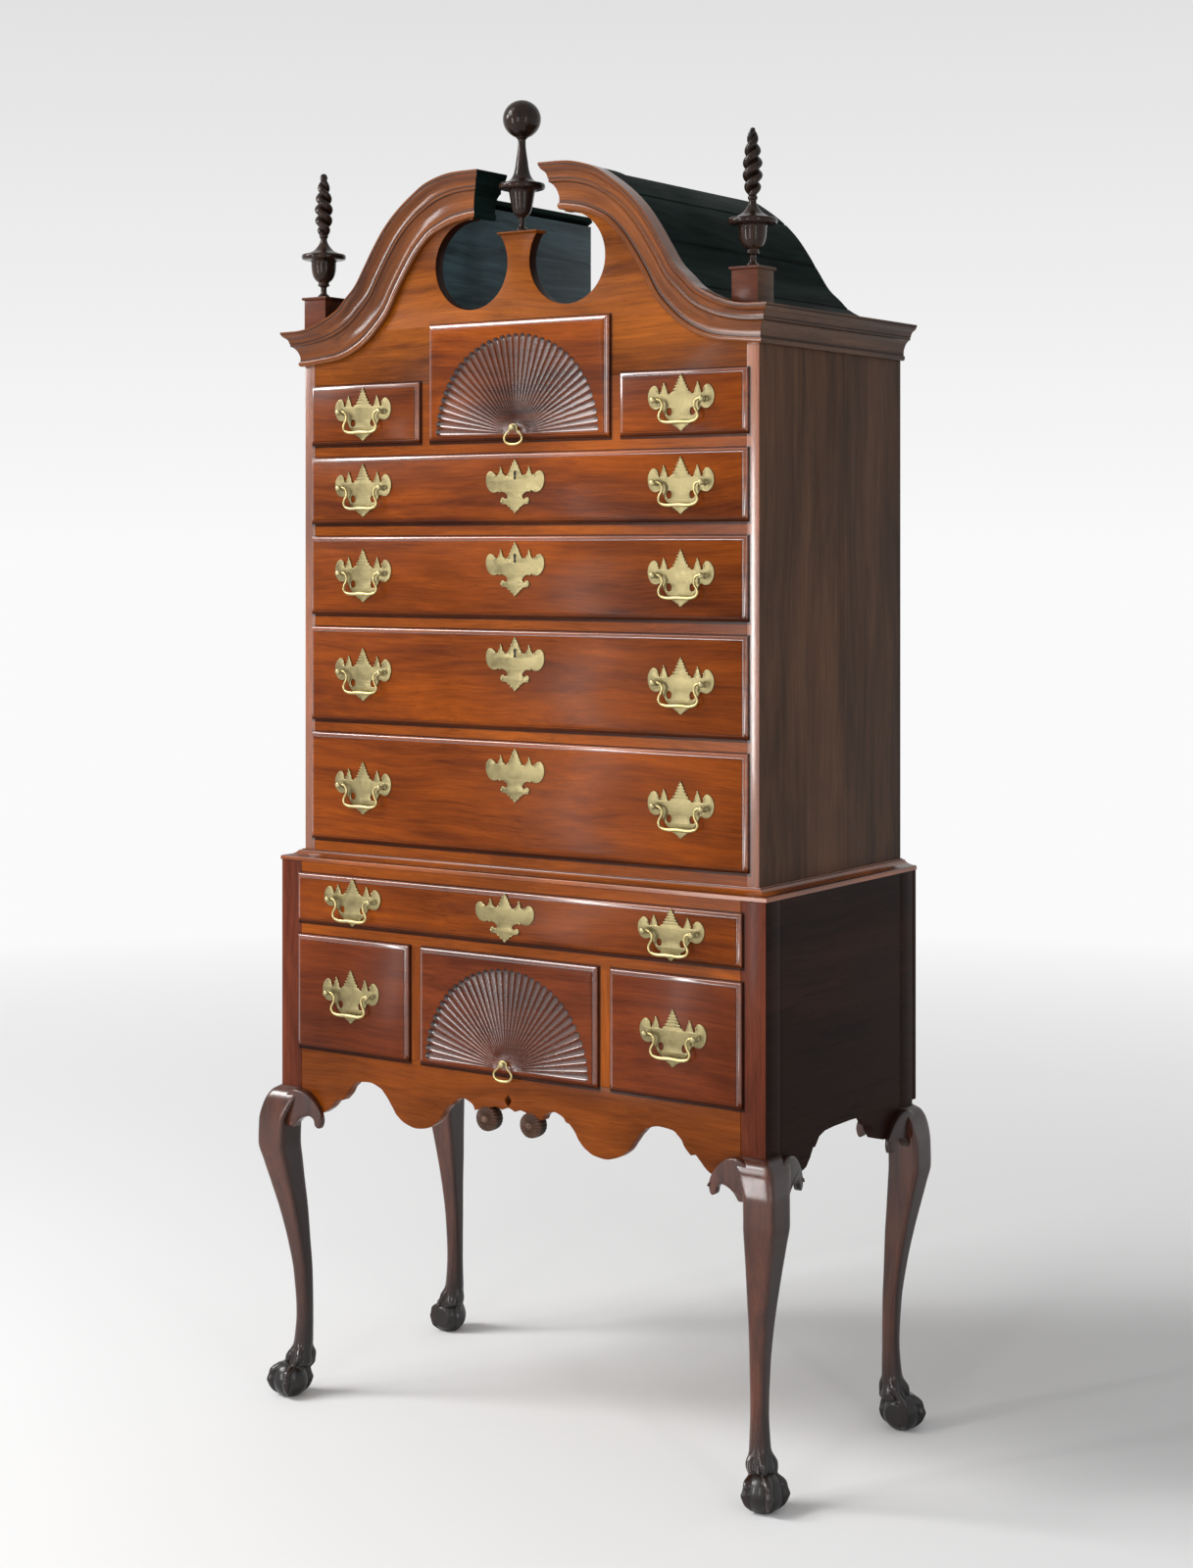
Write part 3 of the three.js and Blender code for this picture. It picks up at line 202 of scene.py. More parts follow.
def places(x, y, z):
    """Points from their coordinates, each an array or one number for all."""
    return np.stack(np.broadcast_arrays(x, y, z), -1)


class Skin:
    """Points with faces, dirt and painted shade per point and the grain's own coordinates per point."""

    def __init__(self):
        self.points, self.faces, self.grime, self.grain, self.count = [], [], [], [], 0

    def grid(self, points, ends=ROUND, grime=0.0, grain=None):
        """Quads between the closed rows of an array (rows, columns, 3). Each end row is closed by
        triangles to its middle ("fan") or by cutting its flat outline into triangles ("flat")."""
        rows, columns = points.shape[:2]
        across = np.arange(columns)
        after = (across + 1) % columns
        low = np.arange(rows - 1)[:, None] * columns
        quads = np.stack([low + across, low + after, low + columns + after, low + columns + across], -1)
        faces = [(quads.reshape(-1, 4), True)]
        flat = points.reshape(-1, 3)
        shade = np.broadcast_to(grime, points.shape[:2]).ravel().astype(float)
        follow = flat if grain is None else np.asarray(grain, float).reshape(-1, 3)
        middles = []
        for row, how in ((0, ends[0]), (rows - 1, ends[1])):
            ring = across + row * columns
            if how == "fan":
                middle = np.full(columns, len(flat) + len(middles))
                middles.append(row)
                faces.append((np.stack([ring, np.roll(ring, -1), middle], -1), True))
            elif how == "flat":
                faces.append((flat_cap([flat[ring]], [ring]), False))
        if middles:
            flat = np.vstack([flat, [points[row].mean(0) for row in middles]])
            shade = np.append(shade, [shade[row * columns] for row in middles])
            follow = np.vstack([follow, [follow[row * columns] for row in middles]])
        self.points.append(flat)
        self.grime.append(shade)
        self.grain.append(follow)
        self.faces += [(kind + self.count, smooth) for kind, smooth in faces]
        self.count += len(flat)
        return self

    def changed(self, change, grain_too=False):
        """A copy whose points, and on demand its grain, are changed by a function."""
        other = Skin()
        other.points = [change(points) for points in self.points]
        other.grain = [change(grain) if grain_too else grain for grain in self.grain]
        other.faces, other.grime, other.count = list(self.faces), list(self.grime), self.count
        return other

    def mirrored(self):
        """The same skin on the other side of the middle plane x = 0."""
        return self.changed(lambda points: points * [-1.0, 1, 1])

    def moved(self, by):
        return self.changed(lambda points: points + by, True)

    def join(self, *others):
        """Adds the points and faces of other skins to this one."""
        for other in others:
            self.points += other.points
            self.grime += other.grime
            self.grain += other.grain
            self.faces += [(kind + self.count, smooth) for kind, smooth in other.faces]
            self.count += other.count
        return self


def flat_cap(lines, numbers):
    """Triangles that fill a flat outline, with any further outlines as holes in it."""
    spread = np.ptp(np.vstack(lines), axis=0)
    a, b = sorted(np.argsort(spread)[1:])
    found = tessellate_polygon([[(p[a], p[b], 0.0) for p in line] for line in lines])
    return np.concatenate(numbers)[np.array(found, int)]


def finish_piece(name, skin, finish, body, slot, stands_for=(), angle=32, grain=False, beside=()):
    """Puts a skin into a mesh, merges its doubles, turns its faces outwards and rides it."""
    mesh = bpy.data.meshes.new(name)
    points = np.vstack(skin.points)
    counts = np.concatenate([np.full(len(kind), kind.shape[1]) for kind, _ in skin.faces])
    loops = np.concatenate([kind.ravel() for kind, _ in skin.faces])
    smooth = np.concatenate([np.full(len(kind), flag) for kind, flag in skin.faces])
    mesh.vertices.add(len(points))
    mesh.vertices.foreach_set("co", points.astype(np.float32).ravel())
    mesh.loops.add(len(loops))
    mesh.loops.foreach_set("vertex_index", loops.astype(np.int32))
    mesh.polygons.add(len(counts))
    starts = np.concatenate([[0], np.cumsum(counts)[:-1]])
    mesh.polygons.foreach_set("loop_start", starts.astype(np.int32))
    mesh.update(calc_edges=True)
    mesh.validate()
    mesh.polygons.foreach_set("use_smooth", smooth[: len(mesh.polygons)])
    dirt = mesh.attributes.new("grime", "FLOAT", "POINT")
    dirt.data.foreach_set("value", np.concatenate(skin.grime).astype(np.float32))
    if grain:
        follow = mesh.attributes.new("grain", "FLOAT_VECTOR", "POINT")
        follow.data.foreach_set("vector", np.vstack(skin.grain).astype(np.float32).ravel())
    work = bmesh.new()
    work.from_mesh(mesh)
    bmesh.ops.remove_doubles(work, verts=work.verts, dist=1e-6)
    bmesh.ops.recalc_face_normals(work, faces=work.faces)
    work.to_mesh(mesh)
    work.free()
    mesh.set_sharp_from_angle(angle=math.radians(angle))
    piece = bpy.data.objects.new(name, mesh)
    bpy.context.scene.collection.objects.link(piece)
    mesh.materials.append(finish_named(finish, beside))
    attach(piece, body)
    if stands_for:
        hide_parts(*stands_for)
    return piece


def finish_pair(name, skin, finish, slot, stands_for=None, **more):
    """A piece of the case at the right and its mirror image at the left."""
    pair = []
    for made, hand in ((skin, "right"), (skin.mirrored(), "left")):
        nodes = [stands_for + "_" + hand] if stands_for else ()
        pair.append(finish_piece(name + "_" + hand, made, finish, "case", slot, nodes, **more))
    return pair


def second_finish(piece, finish, test):
    """Gives the faces whose middles, as an array of points, pass the test a finish of their own."""
    mesh = piece.data
    mesh.materials.append(finish_named(finish))
    middles = np.zeros(len(mesh.polygons) * 3, np.float32)
    mesh.polygons.foreach_get("center", middles)
    slots = np.zeros(len(mesh.polygons), np.int32)
    mesh.polygons.foreach_get("material_index", slots)
    slots[test(middles.reshape(-1, 3))] = len(mesh.materials) - 1
    mesh.polygons.foreach_set("material_index", slots)
    mesh.update()


def cubic(t, a, b, leaving, arriving):
    """The cubic from a to b over t = 0 to 1 that has the given slopes at its ends."""
    line = (2 * t**3 - 3 * t**2 + 1) * a + (t**3 - 2 * t**2 + t) * leaving
    return line + (-2 * t**3 + 3 * t**2) * b + (t**3 - t**2) * arriving


def ease_in(share):
    """3 s^2 - 2 s^3 of a share held between 0 and 1."""
    share = np.clip(share, 0, 1)
    return share * share * (3 - 2 * share)


def even_slopes(at, values, new):
    """Monotone cubic through (at, values): slopes are harmonic means of the neighbouring steps,
    and zero where the steps change sign, so the curve never swings past its points."""
    step = np.diff(at)
    rise = np.diff(values) / step
    slope = np.zeros(len(at))
    same = rise[:-1] * rise[1:] > 0
    slope[1:-1] = np.where(same, 2 * rise[:-1] * rise[1:] / np.where(same, rise[:-1] + rise[1:], 1), 0)
    slope[0], slope[-1] = rise[0], rise[-1]
    k = np.clip(np.searchsorted(at, new) - 1, 0, len(step) - 1)
    t = (new - at[k]) / step[k]
    return cubic(t, values[k], values[k + 1], step[k] * slope[k], step[k] * slope[k + 1])


def flowing(points, steps, corners=()):
    """Smooth line through points: on each stretch a cubic whose end slopes follow the chords to
    both neighbours, broken at the numbered corners. Returns steps points for each stretch."""
    points = np.asarray(points, float)
    last = len(points) - 1
    chord = np.maximum(np.linalg.norm(np.diff(points[:, :2], axis=0), axis=1)[:, None], 1e-9)
    rise = np.diff(points, axis=0) / chord
    into, out = np.vstack([rise[:1], rise]), np.vstack([rise, rise[-1:]])
    before, after = np.vstack([chord[:1], chord]), np.vstack([chord, chord[-1:]])
    weight = before / (before + after)
    through = into * (1 - weight) + out * weight
    broken = np.isin(np.arange(last + 1), [*corners, 0, last])[:, None]
    into, out = np.where(broken, into, through), np.where(broken, out, through)
    t = (np.arange(steps) / steps)[None, :, None]
    leaving, arriving = (out[:-1] * chord)[:, None], (into[1:] * chord)[:, None]
    line = cubic(t, points[:-1, None], points[1:, None], leaving, arriving)
    return np.vstack([line.reshape(-1, points.shape[1]), points[-1:]])


def both_halves(half):
    """A closed outline from its right half, which starts and ends on x = 0."""
    half = np.asarray(half, float)
    inner = half[np.abs(half[:, 0]) > 1e-9][::-1]
    return np.vstack([half, inner * [-1, 1]])


def turn_left(line):
    """The outline in the order that keeps its inside on the left."""
    x, z = line[:, 0], line[:, 1]
    area = np.sum(x * np.roll(z, -1) - np.roll(x, -1) * z)
    return line if area > 0 else line[::-1]


def unit(steps):
    """Rows of an array at length 1."""
    return steps / np.maximum(np.linalg.norm(steps, axis=1, keepdims=True), 1e-12)


def drawn_in(line, by):
    """The outline moved to its left by a distance: each point along the mean of its two normals."""
    before, after = unit(line - np.roll(line, 1, 0)), unit(np.roll(line, -1, 0) - line)
    n0, n1 = (np.stack([-way[:, 1], way[:, 0]], -1) for way in (before, after))
    mean = unit(n0 + n1)
    return line + mean * by / np.clip(np.sum(mean * n0, 1), 0.5, 1)[:, None]


def cut_board(outlines, front, back, ease, axis="y", back_ease=None, steps=3):
    """A board cut to an outline, with holes: the outline is carried from the front plane to the
    back plane, and near each plane it is drawn in by ease * (1 - cos a) over a quarter turn a,
    which rounds the arris. axis "y" has outlines in x and z, axis "x" in y and z."""
    back_ease = ease if back_ease is None else back_ease
    way = 1 if back > front else -1
    turn = np.linspace(0, math.pi / 2, steps + 1)
    sunk, inset = 1 - np.sin(turn), 1 - np.cos(turn)
    depths = np.concatenate([(front + way * ease * sunk)[::-1], back - way * back_ease * sunk])
    insets = np.concatenate([(ease * inset)[::-1], back_ease * inset])
    order = np.argsort(depths)[::way]
    skin = Skin()
    lines = [turn_left(np.asarray(line, float)) for line in outlines]
    caps = {0: ([], []), len(order) - 1: ([], [])}
    for line in [lines[0]] + [line[::-1] for line in lines[1:]]:
        total = skin.count
        layers = []
        for i in order:
            u, z = drawn_in(line, insets[i]).T
            layers.append(places(u, depths[i], z) if axis == "y" else places(depths[i], u, z))
        skin.grid(np.array(layers), OPEN)
        for row, (ring, numbers) in caps.items():
            ring.append(layers[row])
            numbers.append(np.arange(len(line)) + total + row * len(line))
    skin.faces += [(flat_cap(ring, numbers), False) for ring, numbers in caps.values()]
    return skin


def plank(x0, x1, y0, y1, z0, z1, ease=0.6 * MM):
    """A sawn board with eased arrises."""
    return cut_board([[(x0, z0), (x1, z0), (x1, z1), (x0, z1)]], y0, y1, ease)


def around(sides):
    """Bearings of a full turn."""
    return np.linspace(0, TURN, sides, endpoint=False)


def turned(shares, height, radius, sides=72, steps=5, corners=(), cut=None):
    """A turning: each row (share of height, share of radius) is carried round the upright axis.
    cut(angle, up) gives a factor on the radius where the turning is carved."""
    up, out = flowing(np.asarray(shares, float) * [height, radius], steps, corners).T[..., None]
    angle = around(sides)[None]
    out = np.maximum(out, 0) * (1 if cut is None else cut(angle, up / height))
    return places(out * np.cos(angle), out * np.sin(angle), up)


def tube(path, radii, sides=16, loop=False):
    """A round rod: circles of the given radii square to a path that lies in a plane of one y."""
    radii = np.broadcast_to(radii, len(path))[:, None, None]
    ahead = np.roll(path, -1, 0) - np.roll(path, 1, 0) if loop else np.gradient(path, axis=0)
    normal = np.array([0.0, 1, 0])
    side = np.cross(unit(ahead), normal)
    angle = around(sides)[None, :, None]
    rings = path[:, None] + radii * (normal * np.cos(angle) + side[:, None] * np.sin(angle))
    return np.vstack([rings, rings[:1]]) if loop else rings


def bead(x, y, z, radius):
    """Half a ball on a plate that faces -y: rings of radius r cos a at depth -0.75 r sin a."""
    a, b = np.linspace(-0.25, math.pi / 2, 5)[:, None], around(10)[None]
    return places(
        x + radius * np.cos(a) * np.cos(b), y - 0.75 * radius * np.sin(a), z + radius * np.cos(a) * np.sin(b)
    )


# Finishes


def paint(value):
    """A socket as it is, or a grey or three numbers as an opaque colour."""
    if isinstance(value, bpy.types.NodeSocket):
        return value
    return (value, value, value, 1) if isinstance(value, float) else (*value, 1)


class Tree:
    """Writes the node tree of a material or world; an input is a value or another node's output."""

    def __init__(self, owner):
        owner.use_nodes = True
        self.owner = owner
        self.tree = owner.node_tree

    def feed(self, made, values):
        """Links an output to a node's input, or sets the input to a value."""
        for key, value in values.items():
            if isinstance(value, bpy.types.NodeSocket):
                self.tree.links.new(value, made.inputs[key])
            else:
                made.inputs[key].default_value = value

    def node(self, kind, values=None, **settings):
        """A new shader node with its inputs and settings."""
        made = self.tree.nodes.new("ShaderNode" + kind)
        for key, value in settings.items():
            setattr(made, key, value)
        self.feed(made, values or {})
        return made

    def place(self):
        """The place in the piece's own axes."""
        return self.node("TexCoord").outputs["Object"]

    def dirt(self):
        """The dirt and painted shade that the piece's points carry, from 0 to 1."""
        return self.node("Attribute", attribute_name="grime").outputs["Fac"]

    def axes(self, where):
        return self.node("SeparateXYZ", {0: where}).outputs

    def mix(self, factor, a, b, kind="MIX"):
        """Two colours mixed, or blended in another way."""
        made = self.node("Mix", {0: factor, 6: paint(a), 7: paint(b)}, data_type="RGBA", blend_type=kind)
        return made.outputs[2]

    def tint(self, factor, tone, by):
        """The tone multiplied by a colour, as far as the factor says."""
        return self.mix(factor, tone, by, "MULTIPLY")

    def vary(self, tone, cloud, low, high, dark, light):
        """The tone multiplied by a grey from dark to light as the cloud goes from low to high."""
        return self.tint(1.0, tone, self.mix(self.spread(cloud, low, high), dark, light))

    def spread(self, value, low, high, to_low=0.0, to_high=1.0):
        """The value carried from low and high to two new ends, and held beyond them."""
        made = self.node("MapRange", {0: value, 1: low, 2: high, 3: to_low, 4: to_high})
        return made.outputs["Result"]

    def maths(self, operation, a, b=0.0):
        return self.node("Math", {0: a, 1: b}, operation=operation).outputs[0]

    def times(self, a, b):
        return self.maths("MULTIPLY", a, b)

    def plus(self, a, b):
        return self.maths("ADD", a, b)

    def minus(self, a, b):
        return self.maths("SUBTRACT", a, b)

    def far_from(self, value, place):
        """How far a value is from a place, to either side."""
        return self.maths("ABSOLUTE", self.minus(value, place))

    def vector(self, operation, *values):
        return self.node("VectorMath", dict(enumerate(values)), operation=operation).outputs[0]

    def noise(self, where, scale, stretch=(1, 1, 1), detail=3.0, rough=0.5, twist=0.0):
        """Cloud noise of a scale per metre, stretched along the grain by the three factors."""
        mapped = self.node("Mapping", {"Vector": where, "Scale": stretch}).outputs[0]
        values = {"Vector": mapped, "Scale": scale, "Detail": detail, "Roughness": rough, "Distortion": twist}
        return self.node("TexNoise", values).outputs[0]

    def bump(self, height, strength, distance, **more):
        """Fine relief that only the light shows."""
        values = {"Height": height, "Strength": strength, "Distance": distance, **more}
        return self.node("Bump", values).outputs[0]

    def surface(self, tone, gloss, bump=None, **constants):
        """Feeds the surface shader; what is the same all over is set on its own sockets."""
        shader = self.tree.nodes["Principled BSDF"]
        self.feed(shader, {"Base Color": tone, "Roughness": gloss})
        if bump:
            self.feed(shader, {"Normal": bump})
        self.feed(shader, {key.replace("_", " "): value for key, value in constants.items()})
        return self.owner


def wood(name, light, dark, along, coat, rough=(0.2, 0.38), follow=False, extra=None, figure=7.0,
         pores=0.35, worn=0.0, shine=0.08, beside=()):
    """Polished board: broad figure and fine streaks run along the grain, short dark pores lie in
    them, slow clouds vary the colour with age, and dirt and painted shade darken it where the piece says."""
    t = Tree(bpy.data.materials.new(name))
    where = t.node("Attribute", attribute_name="grain").outputs["Vector"] if follow else t.place()

    def grain(share):
        return [share if axis == along else 1.0 for axis in "xyz"]

    # The grain runs in gentle waves: the place is pushed about by up to 25 mm before it is read.
    bend = t.node("TexNoise", {"Vector": where, "Scale": 2.6, "Detail": 2.0}).outputs["Color"]
    flow = t.vector("MULTIPLY_ADD", bend, (0.05, 0.05, 0.05), where)
    broad = t.noise(flow, figure, grain(0.16), 4.0, 0.55, 1.4)
    streak = t.noise(flow, 70.0, grain(0.055), 5.0, 0.66, 0.4)
    fine = t.noise(flow, 330.0, grain(0.03), 3.0, 0.6)
    cloud = t.noise(where, 3.2, (1, 1, 1), 3.0, 0.55, 0.5)
    pore = t.noise(flow, 900.0, grain(0.05), 1.0)
    mixed = t.plus(t.times(broad, 0.6), t.times(streak, 0.4))
    tone = t.mix(t.spread(mixed, 0.37, 0.63), dark, light)
    tone = t.vary(tone, fine, 0.3, 0.7, 0.80, 1.14)
    tone = t.vary(tone, cloud, 0.32, 0.68, 0.78, 1.16)
    holes = t.spread(pore, 0.62, 0.74)
    tone = t.tint(t.times(holes, pores), tone, 0.25)
    height = t.plus(fine, t.times(holes, -0.9))
    if extra:
        tone, height = extra(t, where, tone, height, beside)
    if worn:
        scuff = t.noise(where, 22.0, (1, 1, 1), 6.0, 0.7, 0.8)
        tone = t.mix(t.times(t.spread(scuff, 0.60, 0.72), worn), tone, light)
    # Dirt and painted shade carried by the piece's points darken the tone.
    dirt = t.dirt()
    tone = t.tint(dirt, tone, (0.11, 0.09, 0.085))
    gloss = t.spread(t.plus(cloud, t.times(fine, 0.5)), 0.5, 1.0, *rough)
    gloss = t.plus(gloss, t.times(dirt, 0.2))
    uneven = t.noise(where, 9.0, grain(0.5), 2.0)
    bump = t.bump(uneven, 0.6, 0.0006, Normal=t.bump(height, 0.6, 0.00004))
    return t.surface(
        tone, gloss, bump, Specular_IOR_Level=shine, Coat_Weight=coat, Coat_Roughness=0.14, IOR=1.5
    )


def cast_brass(name, tint, rough):
    """Old polished brass: warm metal with darker cloudy tarnish, hairline scratches and a film of
    dirt and painted shade where the piece's points carry them."""
    t = Tree(bpy.data.materials.new(name))
    where = t.place()
    cloud = t.noise(where, 55.0, (1, 1, 1), 4.0, 0.6, 0.6)
    spots = t.noise(where, 260.0, (1, 1, 1), 3.0, 0.6)
    lines = t.noise(where, 500.0, (1, 0.2, 0.15), 2.0)
    tone = t.mix(t.spread(cloud, 0.35, 0.65), [0.72 * part for part in tint], tint)
    tone = t.tint(t.times(t.spread(spots, 0.6, 0.75), 0.5), tone, (0.5, 0.38, 0.26))
    tone = t.tint(t.dirt(), tone, (0.20, 0.14, 0.09))
    gloss = t.spread(t.plus(cloud, t.times(lines, 0.4)), 0.4, 0.9, *rough)
    bump = t.bump(t.plus(t.times(cloud, 2.0), lines), 0.7, 0.00012)
    return t.surface(tone, gloss, bump, Metallic=0.92)


def painted_keyhole_shade(name):
    """Painted shade in the opening of a keyhole: near black, with a little dust."""
    t = Tree(bpy.data.materials.new(name))
    dust = t.noise(t.place(), 400.0, (1, 1, 1), 3.0, 0.6)
    tone = t.mix(t.spread(dust, 0.4, 0.8), (0.004, 0.003, 0.003), (0.03, 0.02, 0.015))
    return t.surface(tone, t.spread(dust, 0.3, 0.7, 0.5, 0.9))


def lip_dirt_and_shadow(t, where, tone, height, drawers):
    """Old dirt and painted shadow on the case in a narrow band round the lips of the drawers: 1 mm
    outside each rectangle, a little wider below it and at its right, where the painted shadow falls."""
    dirt_and_shadow_band = 0.0
    for name in drawers:
        low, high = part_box(name)
        # The rectangle is moved 1.2 mm down and 0.8 mm right, so the band is wider where the painted shadow
        # falls.
        middle = ((low.x + high.x) / 2 + 0.8 * MM, 0, (low.z + high.z) / 2 - 1.2 * MM)
        half = ((high.x - low.x) / 2, 0, (high.z - low.z) / 2)
        apart = t.vector("ABSOLUTE", t.vector("SUBTRACT", where, middle))
        sides = t.axes(t.vector("SUBTRACT", apart, half))
        gap = t.far_from(t.maths("MAXIMUM", sides[0], sides[2]), 0.8 * MM)
        dirt_and_shadow_band = t.maths("MAXIMUM", dirt_and_shadow_band, t.spread(gap, 1.2 * MM, 2.6 * MM, 1.0, 0.0))
    return t.tint(t.times(dirt_and_shadow_band, 0.92), tone, (0.10, 0.08, 0.08)), height


def foot_dark(t, where, tone, height, drawers):
    """The ankles and feet are darker than the legs."""
    low = t.spread(t.axes(where)[2], 0.07, 0.17, 1.0, 0.0)
    return t.tint(low, tone, (0.16, 0.17, 0.18)), height


def side_marks(t, where, tone, height, drawers):
    """A glued joint between two boards, of which the rear one is cooler, stains towards the back,
    and a front edge painted lighter, towards the rails' colour, as a painted highlight on the arris."""
    back = t.axes(where)[1]
    joint = 0.073
    line = t.spread(t.far_from(back, joint), 0.0, 0.0009, 1.0, 0.0)
    tone = t.tint(t.times(line, 0.85), tone, 0.12)
    tone = t.tint(t.spread(back, joint - 0.001, joint + 0.001), tone, (0.80, 0.84, 0.90))
    stain = t.noise(where, 2.6, (1, 1, 0.5), 4.0, 0.6, 0.8)
    amount = t.times(t.spread(stain, 0.50, 0.66), t.spread(back, 0.05, 0.24))
    tone = t.tint(amount, tone, (0.35, 0.38, 0.45))
    # Painted highlight: the side's front edge is lifted towards the rails' colour.
    edge = t.spread(back, UPPER_FACE + 0.4 * MM, UPPER_FACE + 0.9 * MM, 1.0, 0.0)
    return t.tint(edge, tone, (2.6, 1.35, 0.35)), t.minus(height, line)


def outer_edge(t, across, tone, inner, outer, by):
    """Tints what lies near the outer face of the lower case, from one line to the other."""
    edge = t.spread(t.maths("ABSOLUTE", across), HALF_LOWER - inner * MM, HALF_LOWER - outer * MM)
    return t.tint(edge, tone, by)


def post_marks(t, where, tone, height, drawers):
    """Dark outer faces, and the dirt and painted shadow of the lower drawers' lips."""
    tone = outer_edge(t, t.axes(where)[0], tone, 1.1, 0.5, (0.11, 0.16, 0.20))
    return lip_dirt_and_shadow(t, where, tone, height, ["lower_long_drawer", "lower_drawer_left", "lower_drawer_right"])


def back_joints(t, where, tone, height, drawers):
    """Level boards with a joint every 240 mm; the outer edge is stained like the sides."""
    sides = t.axes(where)
    joint = t.spread(t.maths("PINGPONG", sides[2], 0.12), 0.5 * MM, 1.6 * MM, 1.0, 0.0)
    tone = t.tint(t.times(joint, 0.85), tone, 0.1)
    tone = outer_edge(t, sides[0], tone, 1.2, 0.6, (0.10, 0.06, 0.05))
    return tone, t.minus(height, t.times(joint, 4.0))


def side_cracks(t, where, tone, height, drawers):
    """A few fine cracks along the grain."""
    crack = t.noise(where, 26.0, (1, 0.06, 1.0), 3.0, 0.7, 0.4)
    few = t.spread(t.noise(where, 5.0, (1, 0.5, 1), 2.0), 0.52, 0.62)
    line = t.times(t.spread(t.far_from(crack, 0.5), 0.0, 0.006, 1.0, 0.0), few)
    return t.tint(line, tone, 0.15), t.minus(height, t.times(line, 2.0))


# Each finish of wood: its colours in the panel, the way of its grain, and what sets it apart. One
# without a coat of its own has the coat of the panel.
POLISHED = dict(rough=(0.12, 0.24), coat=1.0, shine=0.5)
WOOD_FINISHES = {
    "front_mahogany": ("front", "x", {}),
    "front_polished": ("front", "x", POLISHED),
    "fan_mahogany": ("fan", "x", {}),
    "fan_polished": ("fan", "x", POLISHED),
    "rail_mahogany": ("rail", "x", dict(worn=0.2, extra=lip_dirt_and_shadow)),
    "pediment_mahogany": ("pediment", "x", dict(worn=0.15, extra=lip_dirt_and_shadow)),
    "apron_mahogany": ("apron", "x", dict(worn=0.15, extra=lip_dirt_and_shadow)),
    "stile_mahogany": ("rail", "z", dict(worn=0.2, extra=lip_dirt_and_shadow)),
    "stile_polished": ("rail", "z", dict(rough=(0.2, 0.34), coat=0.8, worn=0.2, extra=lip_dirt_and_shadow, shine=0.8)),
    "neck_mahogany": ("neck", "x", dict(rough=(0.12, 0.24), coat=0.22, follow=True, shine=0.24)),
    "waist_mahogany": ("rail", "x", dict(rough=(0.14, 0.28), coat=0.3, follow=True, shine=0.3)),
    "side_mahogany": ("side", "z", dict(rough=(0.34, 0.5), coat=0.01, extra=side_marks, shine=0.05)),
    "lower_side_mahogany": ("low", "y", dict(rough=(0.32, 0.46), coat=0.01, extra=side_cracks, shine=0.03)),
    "leg_mahogany": ("leg", "z", dict(rough=(0.16, 0.3), coat=0.25, extra=foot_dark, figure=14.0, shine=0.4)),
    "post_mahogany": ("post", "z", dict(extra=post_marks, figure=14.0)),
    "cornice_mahogany": ("side", "y", dict(rough=(0.16, 0.32), coat=0.02)),
    "plinth_mahogany": ("leg", "x", dict(rough=(0.3, 0.5), coat=0.1, figure=22.0)),
    "shell_mahogany": ("shell", "x", dict(rough=(0.3, 0.5), coat=0.1, figure=22.0, shine=0.2)),
    "turned_wood": ("turned", "z", dict(rough=(0.1, 0.22), coat=0.22, figure=30.0, shine=0.1)),
    "bonnet_boards": ("bonnet", "y", dict(rough=(0.4, 0.65), coat=0.0, figure=16.0, worn=0.15, shine=0.01)),
    "cheek_boards": ("cheek", "y", dict(rough=(0.3, 0.55), coat=0.05, figure=16.0, worn=0.25, shine=0.1)),
    "pine_boards": ("pine", "y", dict(rough=(0.6, 0.8), coat=0.0, figure=12.0, pores=0.15)),
    "back_boards": ("back", "x", dict(
        rough=(0.6, 0.8), coat=0.0, figure=10.0, pores=0.15, extra=back_joints
    )),
}


def finish_named(name, beside=()):
    """The finish of that name, made on its first use from the colours in the panel. beside names
    the drawers whose lips leave their dirt and painted shadow on it."""
    label = "finish_" + name + "".join("_" + each for each in beside[:1])
    if label in bpy.data.materials:
        return bpy.data.materials[label]
    woods, brass = bpy.context.scene.highboy_woods, bpy.context.scene.highboy_brass
    if name == "cast_brass":
        return cast_brass(label, brass.plate_colour, (0.26, 0.5))
    if name == "bail_brass":
        return cast_brass(label, brass.bail_colour, (0.22, 0.42))
    if name == "keyhole_shade":
        return painted_keyhole_shade(label)
    if name not in WOOD_FINISHES:
        raise RuntimeError(f"there is no finish named {name}")
    kind, along, apart = WOOD_FINISHES[name]
    light, dark = (getattr(woods, kind + shade) for shade in ("_light", "_dark"))
    return wood(label, light, dark, along, beside=beside, **{"coat": woods.gloss, **apart})


def refinish(finish, *nodes, beside=()):
    """Gives carried-over boards of the frame a finish; their shape stays as it is."""
    for each in nodes:
        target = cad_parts.get(each)
        if target is None:
            raise RuntimeError(f"the frame has no board named {each}")
        target.data.materials.clear()
        target.data.materials.append(finish_named(finish, beside))


# Case


